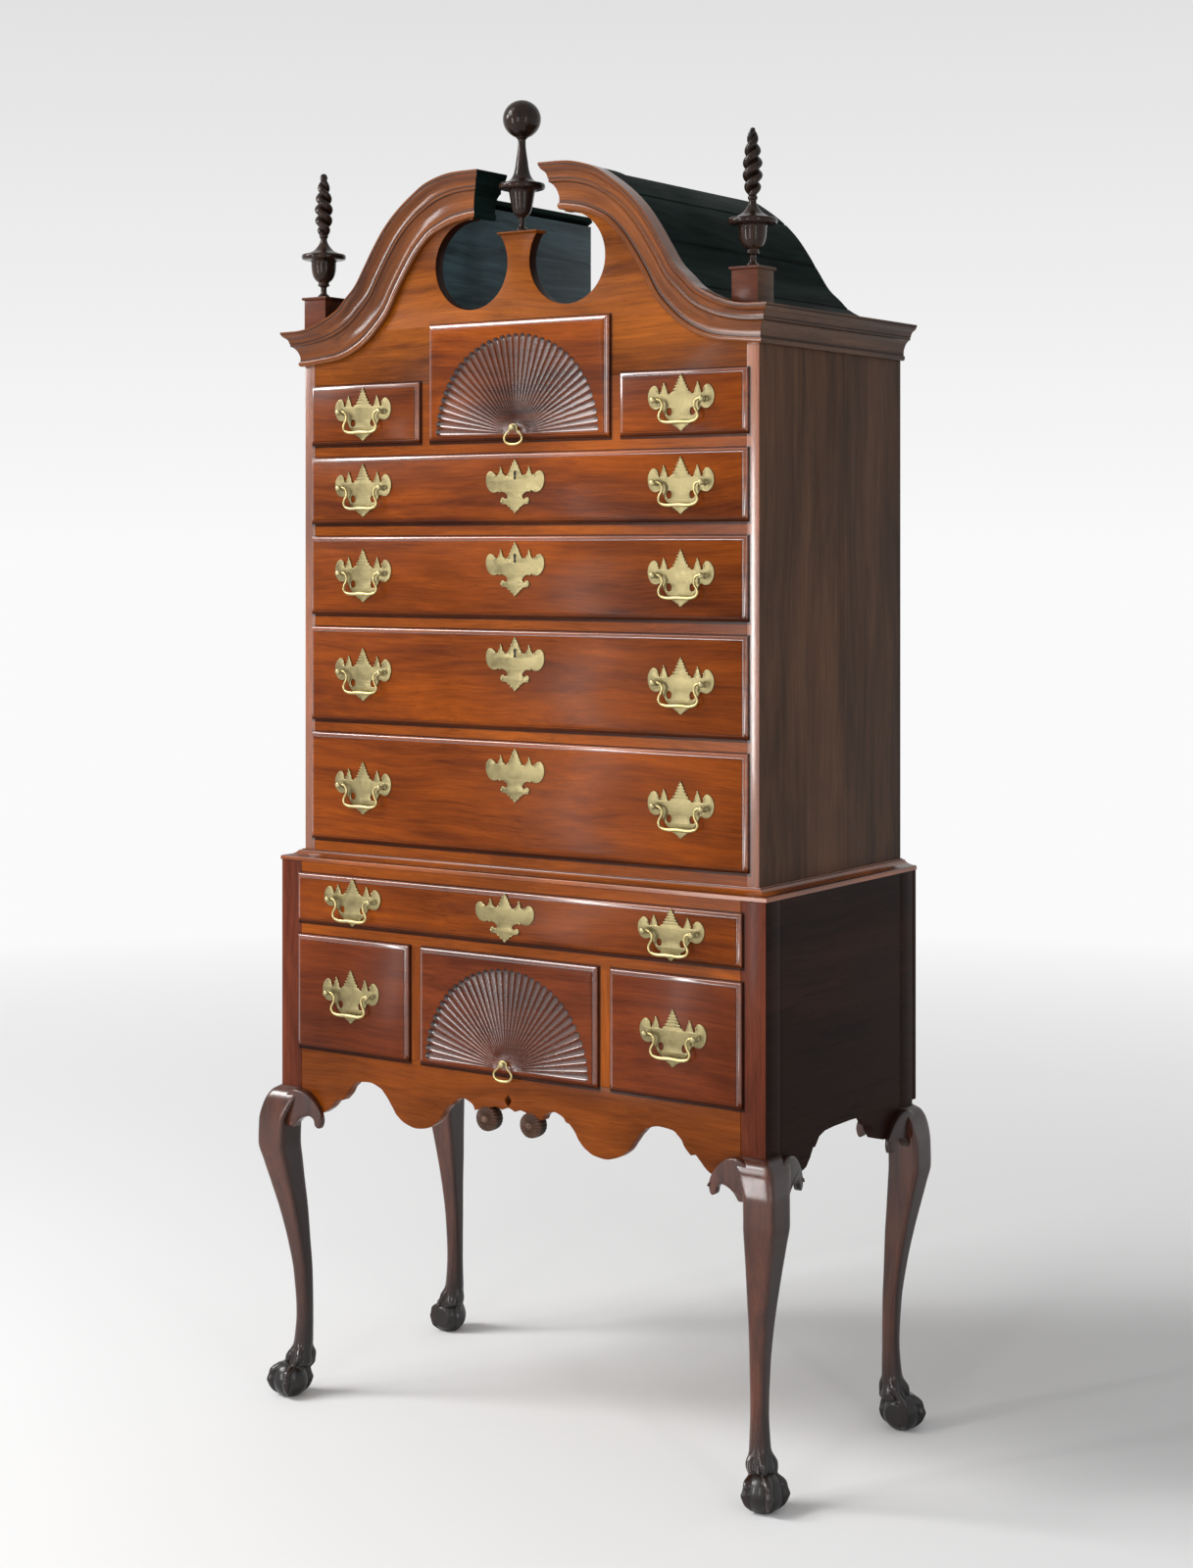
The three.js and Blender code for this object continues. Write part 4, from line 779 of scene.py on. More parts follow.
class HIGHBOY_OT_case(bpy.types.Operator):
    """Gives the boards of both cases their woods"""

    bl_idname = "highboy.case"
    bl_label = "Case boards"

    def execute(self, context):
        refinish("side_mahogany", "upper_side_left", "upper_side_right")
        refinish("lower_side_mahogany", "lower_side_left", "lower_side_right")
        refinish("rail_mahogany", "lower_top_rail", "lower_middle_rail", beside=LOWER_DRAWERS)
        refinish("rail_mahogany", "drawer_blade_1", "drawer_blade_2", "drawer_blade_3", beside=UPPER_LONG)
        refinish("rail_mahogany", "upper_bottom", beside=UPPER_LONG)
        refinish("rail_mahogany", "top_row_frame", beside=TOP_DRAWERS + UPPER_LONG)
        refinish("stile_mahogany", "lower_divider_left", "lower_divider_right", beside=LOWER_DRAWERS)
        refinish("back_boards", "lower_back", "upper_back")
        # The sides' front edges are rubbed and polished with the rails.
        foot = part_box("upper_side_right")[0].z
        edge = plank(
            UPPER_INNER, HALF_UPPER + 0.15 * MM, UPPER_FACE - 0.2 * MM, UPPER_FACE + 1.5 * MM,
            foot + 0.3 * MM, CORNICE_FOOT + 4 * MM, 0.9 * MM,
        )
        finish_pair("side_front_edge", edge, "stile_polished", "mahogany", beside=UPPER_LONG + TOP_DRAWERS)
        return {"FINISHED"}


# Legs

# Height share from ankle to knee, outer and inner reach as shares of the knee's reach, squareness.
LEG_SHARES = np.array([
    [1, 0.43, -0.43, 14], [0.983, 0.67, -0.43, 10], [0.939, 0.87, -0.27, 9], [0.878, 0.98, -0.03, 9],
    [0.8, 0.995, -0.013, 9], [0.734, 0.87, -0.055, 8], [0.656, 0.7, -0.11, 7.5],
    [0.556, 0.49, -0.185, 6.5], [0.445, 0.3, -0.24, 5], [0.323, 0.155, -0.295, 3.4],
    [0.183, 0.095, -0.31, 2.4], [0.101, 0.135, -0.31, 2], [0.001, 0.28, -0.26, 2],
])
BRACKET_SHARES = np.array([
    [-0.45, -0.2], [-0.1, -0.03], [0.12, -0.03], [0.42, -0.1], [0.76, -0.34], [0.94, -0.56],
    [1, -0.8], [0.9, -0.97], [0.74, -0.92], [0.68, -0.76], [0.56, -0.69], [0.3, -0.72],
    [0.06, -0.84], [-0.1, -1], [-0.45, -1],
])
BRACKET_LONG, BRACKET_TALL = 52 * MM, 66 * MM
# A talon from its root to its nail: height in the ball's radii over the ball's middle, how far it
# stands proud of the ball and its half width, both in millimetres.
TALON = np.array([
    [1.75, 3.0, 9.0], [1.25, 5.6, 8.4], [0.92, 5.0, 7.0], [0.62, 7.2, 7.8], [0.3, 5.4, 6.4],
    [0.02, 7.0, 7.2], [-0.22, 5.2, 6.0], [-0.5, 3.8, 4.2], [-0.78, 0.6, 2.2], [-0.96, -2.0, 1.4],
])
BALL_IN = 17 * MM
TALON_APART = 1.26
# Strength of the painted shade on the legs' sides and at the lips' outer edges.
PAINTED_SHADE = 0.85


def soft_max(a, b, melt):
    """The larger of two, with the corner between them rounded over a distance melt."""
    h = np.clip(0.5 + 0.5 * (a - b) / melt, 0, 1)
    return b * (1 - h) + a * h + melt * h * (1 - h)


def from_axis(off, bearing, reach):
    """Distance from the axis to a circle of that reach whose middle lies off it, along a bearing."""
    return off * np.cos(bearing) + np.sqrt(np.maximum(reach**2 - (off * np.sin(bearing)) ** 2, 0))


def leg_skin(lean, knee, ball):
    """Cabriole leg and claw foot as one surface of height and bearing. At each height a rounded
    square |x|^n + |y|^n = 1 spans the outer and inner reach along the diagonal. In the foot the
    radius is the soft maximum of ankle, ball and four talons, where a talon adds
    proud * sqrt(1 - (across / half width)^2) to the ball."""
    ankle = ball * 1.7
    up = ankle + (KNEE_HEIGHT - ankle) * LEG_SHARES[::-1, 0]
    join = ankle + 12 * MM
    z = np.concatenate([np.linspace(0, join, 96)[:-1], np.linspace(join, KNEE_HEIGHT, 150)])
    outer, inner, square = (
        even_slopes(up, LEG_SHARES[::-1, k], np.clip(z, up[0], up[-1]))[:, None] for k in (1, 2, 3)
    )
    z = z[:, None]
    bearing = (around(192) - math.pi)[None]
    middle = (outer + inner) * knee / 2
    half = (outer - inner) * knee / 2 / 2 ** (0.5 - 1 / square)
    # The post's faces are at 45 degrees to the diagonal, so the rounded square is turned with them.
    turn = bearing - math.pi / 4
    reach = half / (np.abs(np.cos(turn)) ** square + np.abs(np.sin(turn)) ** square) ** (1 / square)
    # Foot: everything is a radius from the axis of the ball.
    level = (z - (ball - 3 * MM)) / ball
    globe = ball * np.sqrt(np.clip(1 - level**2, 0, 1))
    mix = ease_in((z - 40 * MM) / (28 * MM))
    axis = BALL_IN * (1 - mix) + middle * mix
    fade = np.clip((z - 30 * MM) / (24 * MM), 0, 1)
    shin = from_axis(middle - axis, bearing, reach) * fade + (1 - fade) * 6 * MM
    off = BALL_IN - axis
    round_ball = np.where(globe > np.abs(off), from_axis(off, bearing, globe), 2 * MM)
    radius = soft_max(shin, round_ball, 5 * MM)
    claws = np.zeros_like(radius)
    heights = TALON[::-1, 0]
    held = np.clip(level, heights[0], heights[-1])[:, 0]
    proud, wide = (even_slopes(heights, TALON[::-1, k] * MM, held)[:, None] for k in (1, 2))
    root = ease_in((1.95 - level) / 0.6)
    ahead = 0 if lean < 0 else math.atan2(lean, 1) - math.pi / 4
    for angle, size in ((0, 1.0), (TALON_APART, 1.0), (-TALON_APART, 1.0), (math.pi, 0.9)):
        apart = (bearing - ahead - angle + math.pi) % TURN - math.pi
        across = np.clip(np.abs(np.sin(apart)) * np.maximum(radius, 16 * MM) / (wide * size), 0, 1)
        across = np.where(np.abs(apart) < math.pi / 2, across, 1)
        ridge = np.sqrt(1 - across**2) * (proud + 2.5 * MM) - 2.5 * MM * across
        claws = np.maximum(claws, np.maximum(ridge, 0) * size * root)
    web = np.clip(1 - np.abs(level - 0.95) / 0.55, 0, 1) * 2.2 * MM
    radius = radius + claws + web * (claws < 1e-6)
    grime = np.clip(1 - claws / (2.2 * MM), 0, 1) * np.clip((1.25 - level) / 0.5, 0, 1) * 0.75
    # Painted shade: the outer and inner side faces are darkened as if in shade, as dark as the side boards.
    aside = np.clip(3.2 * np.abs(np.cos(bearing + math.pi / 4)) - 1.86, 0, 1)
    grime = np.maximum(grime, PAINTED_SHADE * aside)
    # From the diagonal to the case's own axes; lean sets how far the foot points to the side.
    x, y = axis + radius * np.cos(bearing), radius * np.sin(bearing)
    s = math.sqrt(0.5)
    px = np.maximum(s * (x - y), -POST / 2)
    if lean < 0:
        depth = np.minimum(-s * (x + y), POST / 2)
    else:
        depth = np.maximum(s * (x + y) + (lean - 1) * s * axis, -POST / 2)
    skin = Skin().grid(places(px, depth, z), grime=grime)
    side = POST / 2 - 0.02 * MM
    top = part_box("leg_front_right")[1].z
    return skin.join(plank(-side, side, -side, side, KNEE_HEIGHT - 4 * MM, top, 1.2 * MM))


def bracket_skin():
    """Knee bracket: its outline is carried outwards, and the face slopes back to the scroll; a
    round roll follows the scroll's edge."""
    face = -POST / 2 - SEAT_GAP
    outline = flowing(BRACKET_SHARES, 6, (0, 13, 14))[:-1]
    flat = outline * [-BRACKET_LONG, BRACKET_TALL] + [-POST / 2, KNEE_HEIGHT]
    skin = cut_board([flat], face - 17 * MM, face, 3.5 * MM, back_ease=0.2 * MM, steps=5)
    for points in skin.points:
        thin = np.clip((-POST / 2 - points[:, 0]) / (BRACKET_LONG * 1.1), 0, 1)
        points[:, 1] = face + (points[:, 1] - face) * (1 - 0.5 * thin)
    theta = np.linspace(0, 2.6 * math.pi, 60)
    out = (8.5 * (1 - theta / (3.2 * math.pi))) * MM
    cx, cz = -POST / 2 - 0.84 * BRACKET_LONG, KNEE_HEIGHT - 0.78 * BRACKET_TALL
    path = places(cx - out * np.cos(theta), face - 9.6 * MM, cz + out * np.sin(theta))
    return skin.grid(tube(path, np.linspace(1.6, 0.7, 60) * MM, 8))


class HIGHBOY_OT_legs(bpy.types.Operator):
    """Carves the four cabriole legs with claw-and-ball feet and their knee brackets"""

    bl_idname = "highboy.legs"
    bl_label = "Legs"

    def execute(self, context):
        carving = context.scene.highboy_carving
        x = HALF_LOWER - POST / 2
        for name, lean in (("leg_front", -1), ("leg_rear", 0.3)):
            skin = leg_skin(lean, carving.knee, carving.ball)
            bracket = bracket_skin()
            beside = bracket.changed(lambda points: points[:, [1, 0, 2]] * [-1, -1, 1])
            y = LOWER_FACE + POST / 2
            if lean > 0:
                bracket, beside = (
                    each.changed(lambda points: points * [1, -1, 1]) for each in (bracket, beside)
                )
                bracket = bracket.moved((0, -17.3 * MM, 0))
                y = BACK_INNER - SEAT_GAP - POST / 2
            # The bracket on the leg's side face is painted in shade as well.
            beside.grime = [np.full(len(grime), PAINTED_SHADE) for grime in beside.grime]
            skin.join(bracket, beside)
            for piece in finish_pair(
                "carved_" + name, skin.moved((x, y, 0)), "leg_mahogany", "dark_mahogany", name, angle=40
            ):
                over_knee = KNEE_HEIGHT + 2 * MM
                second_finish(piece, "post_mahogany", lambda middles: middles[:, 2] > over_knee)
                second_finish(
                    piece, "lower_side_mahogany",
                    lambda middles: (middles[:, 2] > over_knee)
                    & (np.abs(middles[:, 0]) > HALF_LOWER - 0.3 * MM),
                )
        return {"FINISHED"}


# Apron

APRON_SHARES = np.array([
    [0, 0.894], [0.016, 0.856], [0.03, 0.811], [0.046, 0.856], [0.059, 0.871], [0.153, 0.705],
    [0.176, 0.886], [0.208, 0.955], [0.24, 0.886], [0.26, 0.75], [0.276, 0.72], [0.299, 0.553],
    [0.32, 0.341], [0.356, 0.144], [0.393, 0.045], [0.432, 0.015], [0.475, 0.076], [0.516, 0.22],
    [0.551, 0.492], [0.583, 0.75], [0.617, 0.917], [0.663, 0.992], [0.704, 0.97], [0.743, 0.841],
    [0.772, 0.583], [0.795, 0.432], [0.816, 0.462], [0.834, 0.341], [0.864, 0.144], [0.896, 0.015],
    [1, 0],
])
# The rosette from its back to its button: radius and height from the apron's face, in millimetres.
ROSETTE_ROWS = np.array([
    [20.2, 19.0], [20.2, -0.4], [19.8, -1.6], [18.9, -2.4], [17.0, -3.0], [14.0, -3.9], [11.0, -4.6],
    [8.0, -5.1], [5.4, -5.3], [4.6, -5.0], [4.2, -5.4], [3.0, -6.2], [1.4, -6.6],
])


def rosette_skin(x, z):
    """Drop rosette: a low dome carved as a shell, where the depth of its 22 flutes is
    2.2 mm * |sin(11 a)| between the button and the rim, and the rim is notched with them."""
    angle = around(264)
    reach, proud = flowing(ROSETTE_ROWS[:, ::-1] * MM, 3)[:, ::-1].T[..., None]
    flute = np.abs(np.sin(11 * angle))[None] ** 0.8
    share = np.clip(reach / (ROSETTE_ROWS[0, 0] * MM), 0, 1)
    carved = np.clip((share - 0.22) / 0.12, 0, 1) * (proud < -0.5 * MM)
    out = reach * (1 - 0.03 * flute * np.clip((share - 0.9) / 0.1, 0, 1))
    depth = LOWER_FACE + proud + 2.2 * MM * flute * carved * (0.4 + 0.6 * share)
    grime = np.clip(flute * 1.3 - 0.5, 0, 1) * carved * 0.9
    grime = np.maximum(grime, 0.9 * (proud > 1 * MM))
    return Skin().grid(places(x + out * np.cos(angle), depth, z + out * np.sin(angle)), grime=grime)


class HIGHBOY_OT_apron(bpy.types.Operator):
    """Cuts the scalloped apron with its carved rosettes and pierced lozenge"""

    bl_idname = "highboy.apron"
    bl_label = "Apron"

    def execute(self, context):
        half = LOWER_INNER - SEAT_GAP
        edge = flowing(APRON_SHARES, 5, (0, 2, 4, 5, 9, 10, 25, 26, 29, 30)) * [half, 66 * MM]
        edge += [0, APRON_FOOT]
        outline = both_halves(np.vstack([[(0, APRON_TOP), (half, APRON_TOP)], edge[::-1]]))
        turn = around(48)
        cosine, sine = (np.sign(wave) * np.abs(wave) ** 1.7 for wave in (np.cos(turn), np.sin(turn)))
        lozenge = np.stack([6.5 * MM * cosine, APRON_FOOT + 70 * MM + 9.5 * MM * sine], -1)
        skin = cut_board([outline, lozenge], LOWER_FACE, LOWER_FACE + 20 * MM, 0.8 * MM)
        finish_piece(
            "scalloped_apron", skin, "apron_mahogany", "case", "mahogany", ["front_apron"],
            beside=LOWER_DRAWERS[1:],
        )
        for side, hand in ((1, "right"), (-1, "left")):
            rosette = rosette_skin(side * 44 * MM, APRON_FOOT + 35.5 * MM)
            finish_piece("drop_rosette_" + hand, rosette, "shell_mahogany", "case", "dark_mahogany")
        return {"FINISHED"}


# Drawers

# Lip of a drawer front: distance in from its edge and proud of the case, in millimetres.
LIP_ROWS = np.array([
    [8.0, 8.0], [7.75, 7.9], [7.55, 7.0], [7.1, 6.9], [6.6, 7.0], [6.0, 6.9], [4.6, 6.4], [3.2, 5.9],
    [2.1, 5.4], [1.2, 4.7], [0.6, 3.7], [0.25, 2.5], [0.05, 1.4], [0, 0.3],
])


def rectangle(box, inset, shares):
    """Points round a rectangle drawn in by inset, at fixed shares 0..4 of its four sides."""
    x0, x1, z0, z1 = box + inset * np.array([1, -1, 1, -1])
    corners = np.array([[x1, z0], [x1, z1], [x0, z1], [x0, z0], [x1, z0]])
    side = np.minimum(shares.astype(int), 3)
    t = (shares - side)[:, None]
    return corners[side] * (1 - t) + corners[side + 1] * t


def shares_of(x, z, box, inset):
    """For points on the drawn-in rectangle, their shares 0..4 round its sides."""
    x0, x1, z0, z1 = box + inset * np.array([1, -1, 1, -1])
    side = np.argmin(np.abs([x - x1, z - z1, x - x0, z - z0]), 0)
    along = np.array([
        (z - z0) / (z1 - z0), (x1 - x) / (x1 - x0), (z1 - z) / (z1 - z0), (x - x0) / (x1 - x0)
    ])
    found = side + np.clip(along[side, np.arange(len(x))], 0, 1)
    return np.where(found >= 4 - 1e-7, 0.0, found)


def front_skin(box, face, fan=None):
    """Lipped front: a flat or carved field, then the lip's profile carried round the rectangle,
    then the plain board behind it."""
    if fan is None:
        rings, grime, shares = [], [], np.array([0, 0.04, 1, 2, 2.96, 3])
    else:
        rings, grime, shares = fan_rings(box, face, fan)

    def ring(inset, depth):
        x, z = rectangle(box, inset, shares).T
        rings.append(places(x, face + depth, z))

    for inset, proud in LIP_ROWS * MM:
        ring(inset, -proud)
        # Painted shade: a dark line in the quirk 7.3 mm in from the edge, and the lip's outer rows next to
        # the case darkened as shadow.
        crease = math.exp(-(((inset - 7.3 * MM) / (0.5 * MM)) ** 2)) * 0.95
        # The underside of the lip is dull, and painted dark as shade.
        under = np.where((shares >= 3) | (shares < 1e-9), 0.8 * (inset < 5 * MM), 0.0)
        grime.append(np.maximum(under, max(crease, PAINTED_SHADE if proud < 1.9 * MM else 0.0)))
    for inset, depth in ((5 * MM, -0.3 * MM), (5 * MM, FRONT_THICK - 0.3 * MM), (5.4 * MM, FRONT_THICK)):
        ring(inset, depth)
        grime.append(np.full(len(shares), 0.3))
    return Skin().grid(np.array(rings), FLAT if fan is None else ("fan", "flat"), np.array(grime))


def fan_rings(box, face, fan):
    """Rings from the fan's centre to the edge of the field. Within a flute of pitch p the place u
    runs from -1 to 1; its round end lies at R - w + w sqrt(1 - u^2), and its hollow is
    depth * r / R * sqrt(1 - u^2), run out over the last stretch. A smooth hub swells inside."""
    radius, base, hub, depth, count = fan
    cx, cz = (box[0] + box[1]) / 2, box[2] + base
    inset = LIP_ROWS[0, 0] * MM
    corners = rectangle(box, inset, np.arange(4.0)) - [cx, cz]
    angle = np.concatenate([np.linspace(0, math.pi, count * 14 + 1), np.linspace(math.pi, TURN, 41)[1:-1]])
    for each in np.arctan2(corners[:, 1], corners[:, 0]) % TURN:
        angle[np.argmin(np.abs(angle - each))] = each
    angle = np.sort(angle)
    x0, x1, z0, z1 = box + inset * np.array([1, -1, 1, -1]) - [cx, cx, cz, cz]
    c, s = np.cos(angle), np.sin(angle)
    tiny = 1e-12
    far = np.minimum(
        np.where(c > 0, x1 / np.maximum(c, tiny), x0 / np.minimum(c, -tiny)),
        np.where(s > 0, z1 / np.maximum(s, tiny), z0 / np.minimum(s, -tiny)),
    )
    up = (angle <= math.pi + 1e-9) & (angle >= -1e-9)
    pitch = math.pi / count
    arch = np.sqrt(np.clip(1 - (2 * ((angle / pitch) % 1) - 1) ** 2, 0, 1))
    width = radius * pitch / 2
    rim = np.where(up, radius - width + width * arch, np.minimum(radius - width, far * 0.92))
    start = np.where(up, hub, np.minimum(hub, far * 0.3))
    # Painted shade rides with the stations: a little near the hub's edge, in the flutes' hollows, at their
    # round ends and in a thin line just outside them.
    stations, grime = [], []
    for share in np.linspace(0.04, 1, 12):
        swell = math.sqrt(max(0, 1 - (share * 0.97) ** 2)) * 1.2 * MM
        stations.append((start * share, 0.4 * MM - swell))
        grime.append(np.where(up, 0.25 * share**6, 0.0))
    for share in np.linspace(0, 1, 34)[1:]:
        reach = start + (rim - start) * share**0.9
        left = (rim - reach) / np.maximum(width * 0.9, tiny)
        run_out = np.sqrt(np.clip(1 - (1 - np.clip(left, 0, 1)) ** 2, 0, 1))
        hollow = depth * (0.25 + 0.75 * reach / radius) * arch * min(1.0, share / 0.08) * run_out
        stations.append((reach, hollow))
        edge = math.exp(-(((share - 1) / 0.035) ** 2))
        sunk = np.clip(arch * 1.25 - 0.45, 0, 1)
        grime.append(np.where(up, np.clip(0.62 * sunk + 0.8 * edge * arch, 0, 1), 0.0))
    for share in (0.012, 0.05, 0.2, 0.5, 0.8, 1):
        stations.append((rim + (far - rim) * share, 0.0))
        grime.append(np.where(up, 0.7 * (share < 0.02), 0.0))
    shares = shares_of(far * c + cx, far * s + cz, box, inset)
    first = -np.argmin(shares)
    rings = [
        np.roll(places(cx + reach * c, face - LIP + np.where(up, sunk, 0), cz + reach * s), first, 0)
        for reach, sunk in stations
    ]
    return rings, [np.roll(each, first) for each in grime], np.roll(shares, first)


def box_skin(box, face, back):
    """Drawer box of thin boards: two sides whose front ends are cut as dovetails into the front,
    a back between them and a bottom."""
    thick = 11 * MM
    x0, x1, z0, z1 = box + np.array([5, -5, 4.3, -11]) * MM
    front = face + FRONT_THICK
    count = max(2, round((z1 - z0) / (38 * MM)))
    pitch = (z1 - z0) / count
    tails = np.array([[0, 0], [0, 0.16], [-14 * MM, 0.06], [-14 * MM, 0.94], [0, 0.84]]) * [1, pitch]
    rows = [tails + [front, z0 + k * pitch] for k in range(count)]
    edge = np.vstack([[(back, z0)], *rows, [(front, z1), (back, z1)]])
    skin = Skin()
    for side, place in ((-1, x0), (1, x1)):
        skin.join(cut_board([edge], place + side * 0.12 * MM, place - side * thick, 0.4 * MM, axis="x"))
    x0, x1, floor = x0 + thick, x1 - thick, z0 + 8 * MM
    skin.join(plank(x0, x1, back - thick, back, floor, z1))
    return skin.join(plank(x0 - 2 * MM, x1 + 2 * MM, front - MM, back - 1.5 * MM, z0, floor))


class HIGHBOY_OT_drawers(bpy.types.Operator):
    """Makes the lipped drawer fronts, the two carved fans and the dovetailed boxes"""

    bl_idname = "highboy.drawers"
    bl_label = "Drawers and fans"

    def execute(self, context):
        carving = context.scene.highboy_carving
        carved = (carving.fan_radius, carving.fan_base, carving.fan_hub, carving.flute_depth, carving.flutes)
        for name in PLAIN_FRONTS + FANS:
            low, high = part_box(name)
            box = np.array([low.x, high.x, low.z, high.z])
            face = face_of(name)
            front = front_skin(box, face, carved if name in FANS else None)
            red = "fan" if name in LOWER_DRAWERS[1:] else "front"
            piece = finish_piece(
                name + "_front", front, red + "_mahogany", name, "mahogany", [name], angle=28
            )
            # Flutes and lips, but for the lower lip, have a higher polish than the flat field.
            second_finish(
                piece, red + "_polished",
                lambda middles: (np.abs(middles[:, 1] - face + LIP) > 0.06 * MM)
                & (middles[:, 2] > low.z + 7.7 * MM),
            )
            finish_piece(name + "_box", box_skin(box, face, high.y), "pine_boards", name, "pine")
        return {"FINISHED"}


# Brasses

# Right halves of the cast outlines from the crown's tip to the drop, in millimetres.
PLATE_LINE = np.array([
    [0, 45], [2.2, 40.6], [3.8, 39.8], [3.0, 36.8], [6.2, 35.4], [4.8, 32.2], [8.4, 30.8], [7.0, 27.4],
    [11, 26], [9.6, 22.4], [14, 21], [13.2, 17.4], [17.8, 15.6], [21.4, 12.6], [24.2, 14.4],
    [25.4, 18.6], [26.6, 22], [28.4, 26], [30.9, 31.4], [33.4, 26], [35, 22], [36, 18.2], [37.4, 13.8],
    [39.6, 13.2], [40.8, 16.6], [41.6, 20.6], [43.6, 24.4], [47.4, 26.6], [52, 26], [56.6, 22],
    [60, 15.4], [60.8, 8], [59.4, 0.6], [56, -5.6], [51, -9.4], [45.4, -10.4], [40, -9], [36.4, -7.6],
    [34.4, -10], [32.4, -14], [29.8, -19], [27.4, -23.4], [24, -26.4], [21, -28.4], [17.6, -30.2],
    [17.8, -33.2], [14.8, -33.6], [13.6, -36.2], [10.6, -36.4], [9.2, -39], [6.2, -39.2], [4, -42], [0, -45],
])
PLATE_CORNERS = (0, *range(2, 12), 18, 37, *range(44, 51), 52)
PLATE_BEADS = [
    (0, 43, 1.5), (2.8, 39.4, 1.2), (5.2, 34.8, 1.2), (7.4, 30.2, 1.2), (10, 25.4, 1.2), (13, 20.4, 1.3),
    (25.8, 16.2, 1.3), (30.9, 29.6, 1.6), (28.4, 23, 1.2), (33.6, 23, 1.2), (36.4, 16, 1.3),
    (42.6, 19.6, 1.8), (37, -6.8, 1.7), (33.6, -10.4, 1.3), (17, -31.6, 1.5), (13, -34.6, 1.3),
    (8.8, -37.4, 1.3), (0, -43, 1.5),
]
ESCUTCHEON_LINE = np.array([
    [0, 44], [2.6, 40.6], [5.2, 36.4], [8, 30.2], [10.6, 24.9], [12.4, 21.4], [14.6, 18.6], [17.6, 17],
    [20.6, 18.2], [23, 20.6], [25.2, 23.4], [26.2, 27], [28.3, 32], [30.4, 27], [31.6, 23.2], [33.6, 20],
    [36.4, 17.4], [39, 18.6], [42, 22], [46.8, 24.6], [52, 24.4], [56.4, 20.4], [58.4, 13], [58, 5.4],
    [55.2, -1.6], [50.6, -6.8], [45, -9.4], [39.4, -9.6], [34.6, -8], [30.6, -6.6], [29.6, -9],
    [25.6, -8.6], [20.6, -10], [16.6, -13], [14.6, -17], [16.6, -20.2], [20.4, -19.6], [24.2, -17.6],
    [28, -19.8], [28.8, -24.4], [25.8, -28.2], [21, -28.6], [16.8, -29.6], [13.4, -32.4],
    [10.4, -33.6], [7.6, -37.2], [4, -39.8], [0, -44],
])
ESCUTCHEON_CORNERS = (0, 7, 12, 16, 29, 30, 34, 47)
ESCUTCHEON_BEADS = [
    (0, 42, 1.8), (3.4, 37, 1.6), (6.6, 31, 1.6), (9.4, 25, 1.7), (12.6, 19.4, 1.8), (20.6, 17.4, 1.7),
    (28.3, 30.4, 1.7), (25.6, 22.6, 1.5), (31.2, 22, 1.5), (39.4, 18, 2.0), (30.4, -8, 1.8),
    (26.2, -24.2, 2.6), (17, -20.6, 1.6), (12.6, -32, 1.5), (7.6, -36.4, 1.5), (0, -42, 1.7),
]
EYE = np.array([
    [16.4, -14.6], [18.2, -9.4], [22.2, -8], [25.8, -10.6], [26.4, -15.4], [23.8, -20], [19.2, -20.4]
])
KEYHOLE = np.array([
    [0, 25.4], [2.6, 23], [2.2, 20.2], [1.5, 17], [1.9, 11], [-1.9, 11], [-1.5, 17], [-2.2, 20.2],
    [-2.6, 23],
])
PLATE = (PLATE_LINE, PLATE_CORNERS, PLATE_BEADS, (EYE, EYE * [-1, 1]))
ESCUTCHEON = (ESCUTCHEON_LINE, ESCUTCHEON_CORNERS, ESCUTCHEON_BEADS)
# A post from the plate outwards: share of its reach, share of its radius.
POST_SHARES = np.array([
    [-0.2, 0], [-0.2, 1.75], [0.06, 1.75], [0.12, 1.45], [0.2, 1.1], [0.34, 0.95], [0.46, 1.0],
    [0.5, 1.25], [0.54, 1.0], [0.62, 1.1], [0.7, 1.45], [0.8, 1.62], [0.9, 1.4], [0.97, 0.8], [1, 0],
])
# Half of a bail as shares of half the spacing and of the drop, curled in under the post.
BAIL_SHARES = np.array([
    [0.98, 0.0], [0.87, 0.02], [0.74, -0.03], [0.67, -0.15], [0.665, -0.32], [0.72, -0.48],
    [0.785, -0.62], [0.8, -0.76], [0.73, -0.9], [0.58, -0.975], [0.4, -1.0], [0.18, -0.985], [0, -0.98],
])
# Half of a ring pull as shares of its width and height from its middle.
RING_SHARES = np.array([
    [0, 0.5], [0.12, 0.48], [0.18, 0.4], [0.19, 0.27], [0.26, 0.14], [0.38, 0.02], [0.47, -0.12],
    [0.46, -0.29], [0.33, -0.43], [0.16, -0.49], [0, -0.5],
])
RING_WIDE, RING_TALL = 37 * MM, 32 * MM
BAIL_DROP = 35 * MM
BAIL_OUT = 17 * 0.55 * MM


def plate_skin(line, corners, beads, holes, scale, centre, thick):
    """Cast plate: the outline spline, rounded over its edge and pierced, with beads along it."""
    cx, face, cz = centre
    size = np.array([MM, MM * scale])
    outline = both_halves(flowing(line * size, 5, corners)) + [cx, cz]
    cuts = [flowing(np.vstack([hole, hole[:1]]) * size, 5)[:-1] + [cx, cz] for hole in holes]
    skin = cut_board([outline] + cuts, face - thick, face + 0.4 * MM, 0.7 * MM, back_ease=0.05 * MM)
    # Painted light: the flat face is darkened so that the rounded edge reads as a painted highlight, and the
    # edge next to the wood is painted dark as shadow.
    for points, grime in zip(skin.points, skin.grime):
        field = np.where(points[:, 1] < face - thick + 0.03 * MM, 0.42, 0.0)
        grime[:] = np.where(points[:, 1] > face - 0.4 * thick, 0.9, field)
    for x, z, r in beads:
        for side in (1, -1) if x else (1,):
            skin.grid(bead(cx + side * x * MM, face - thick + 0.2 * MM, cz + z * scale * MM, r * MM))
    return skin


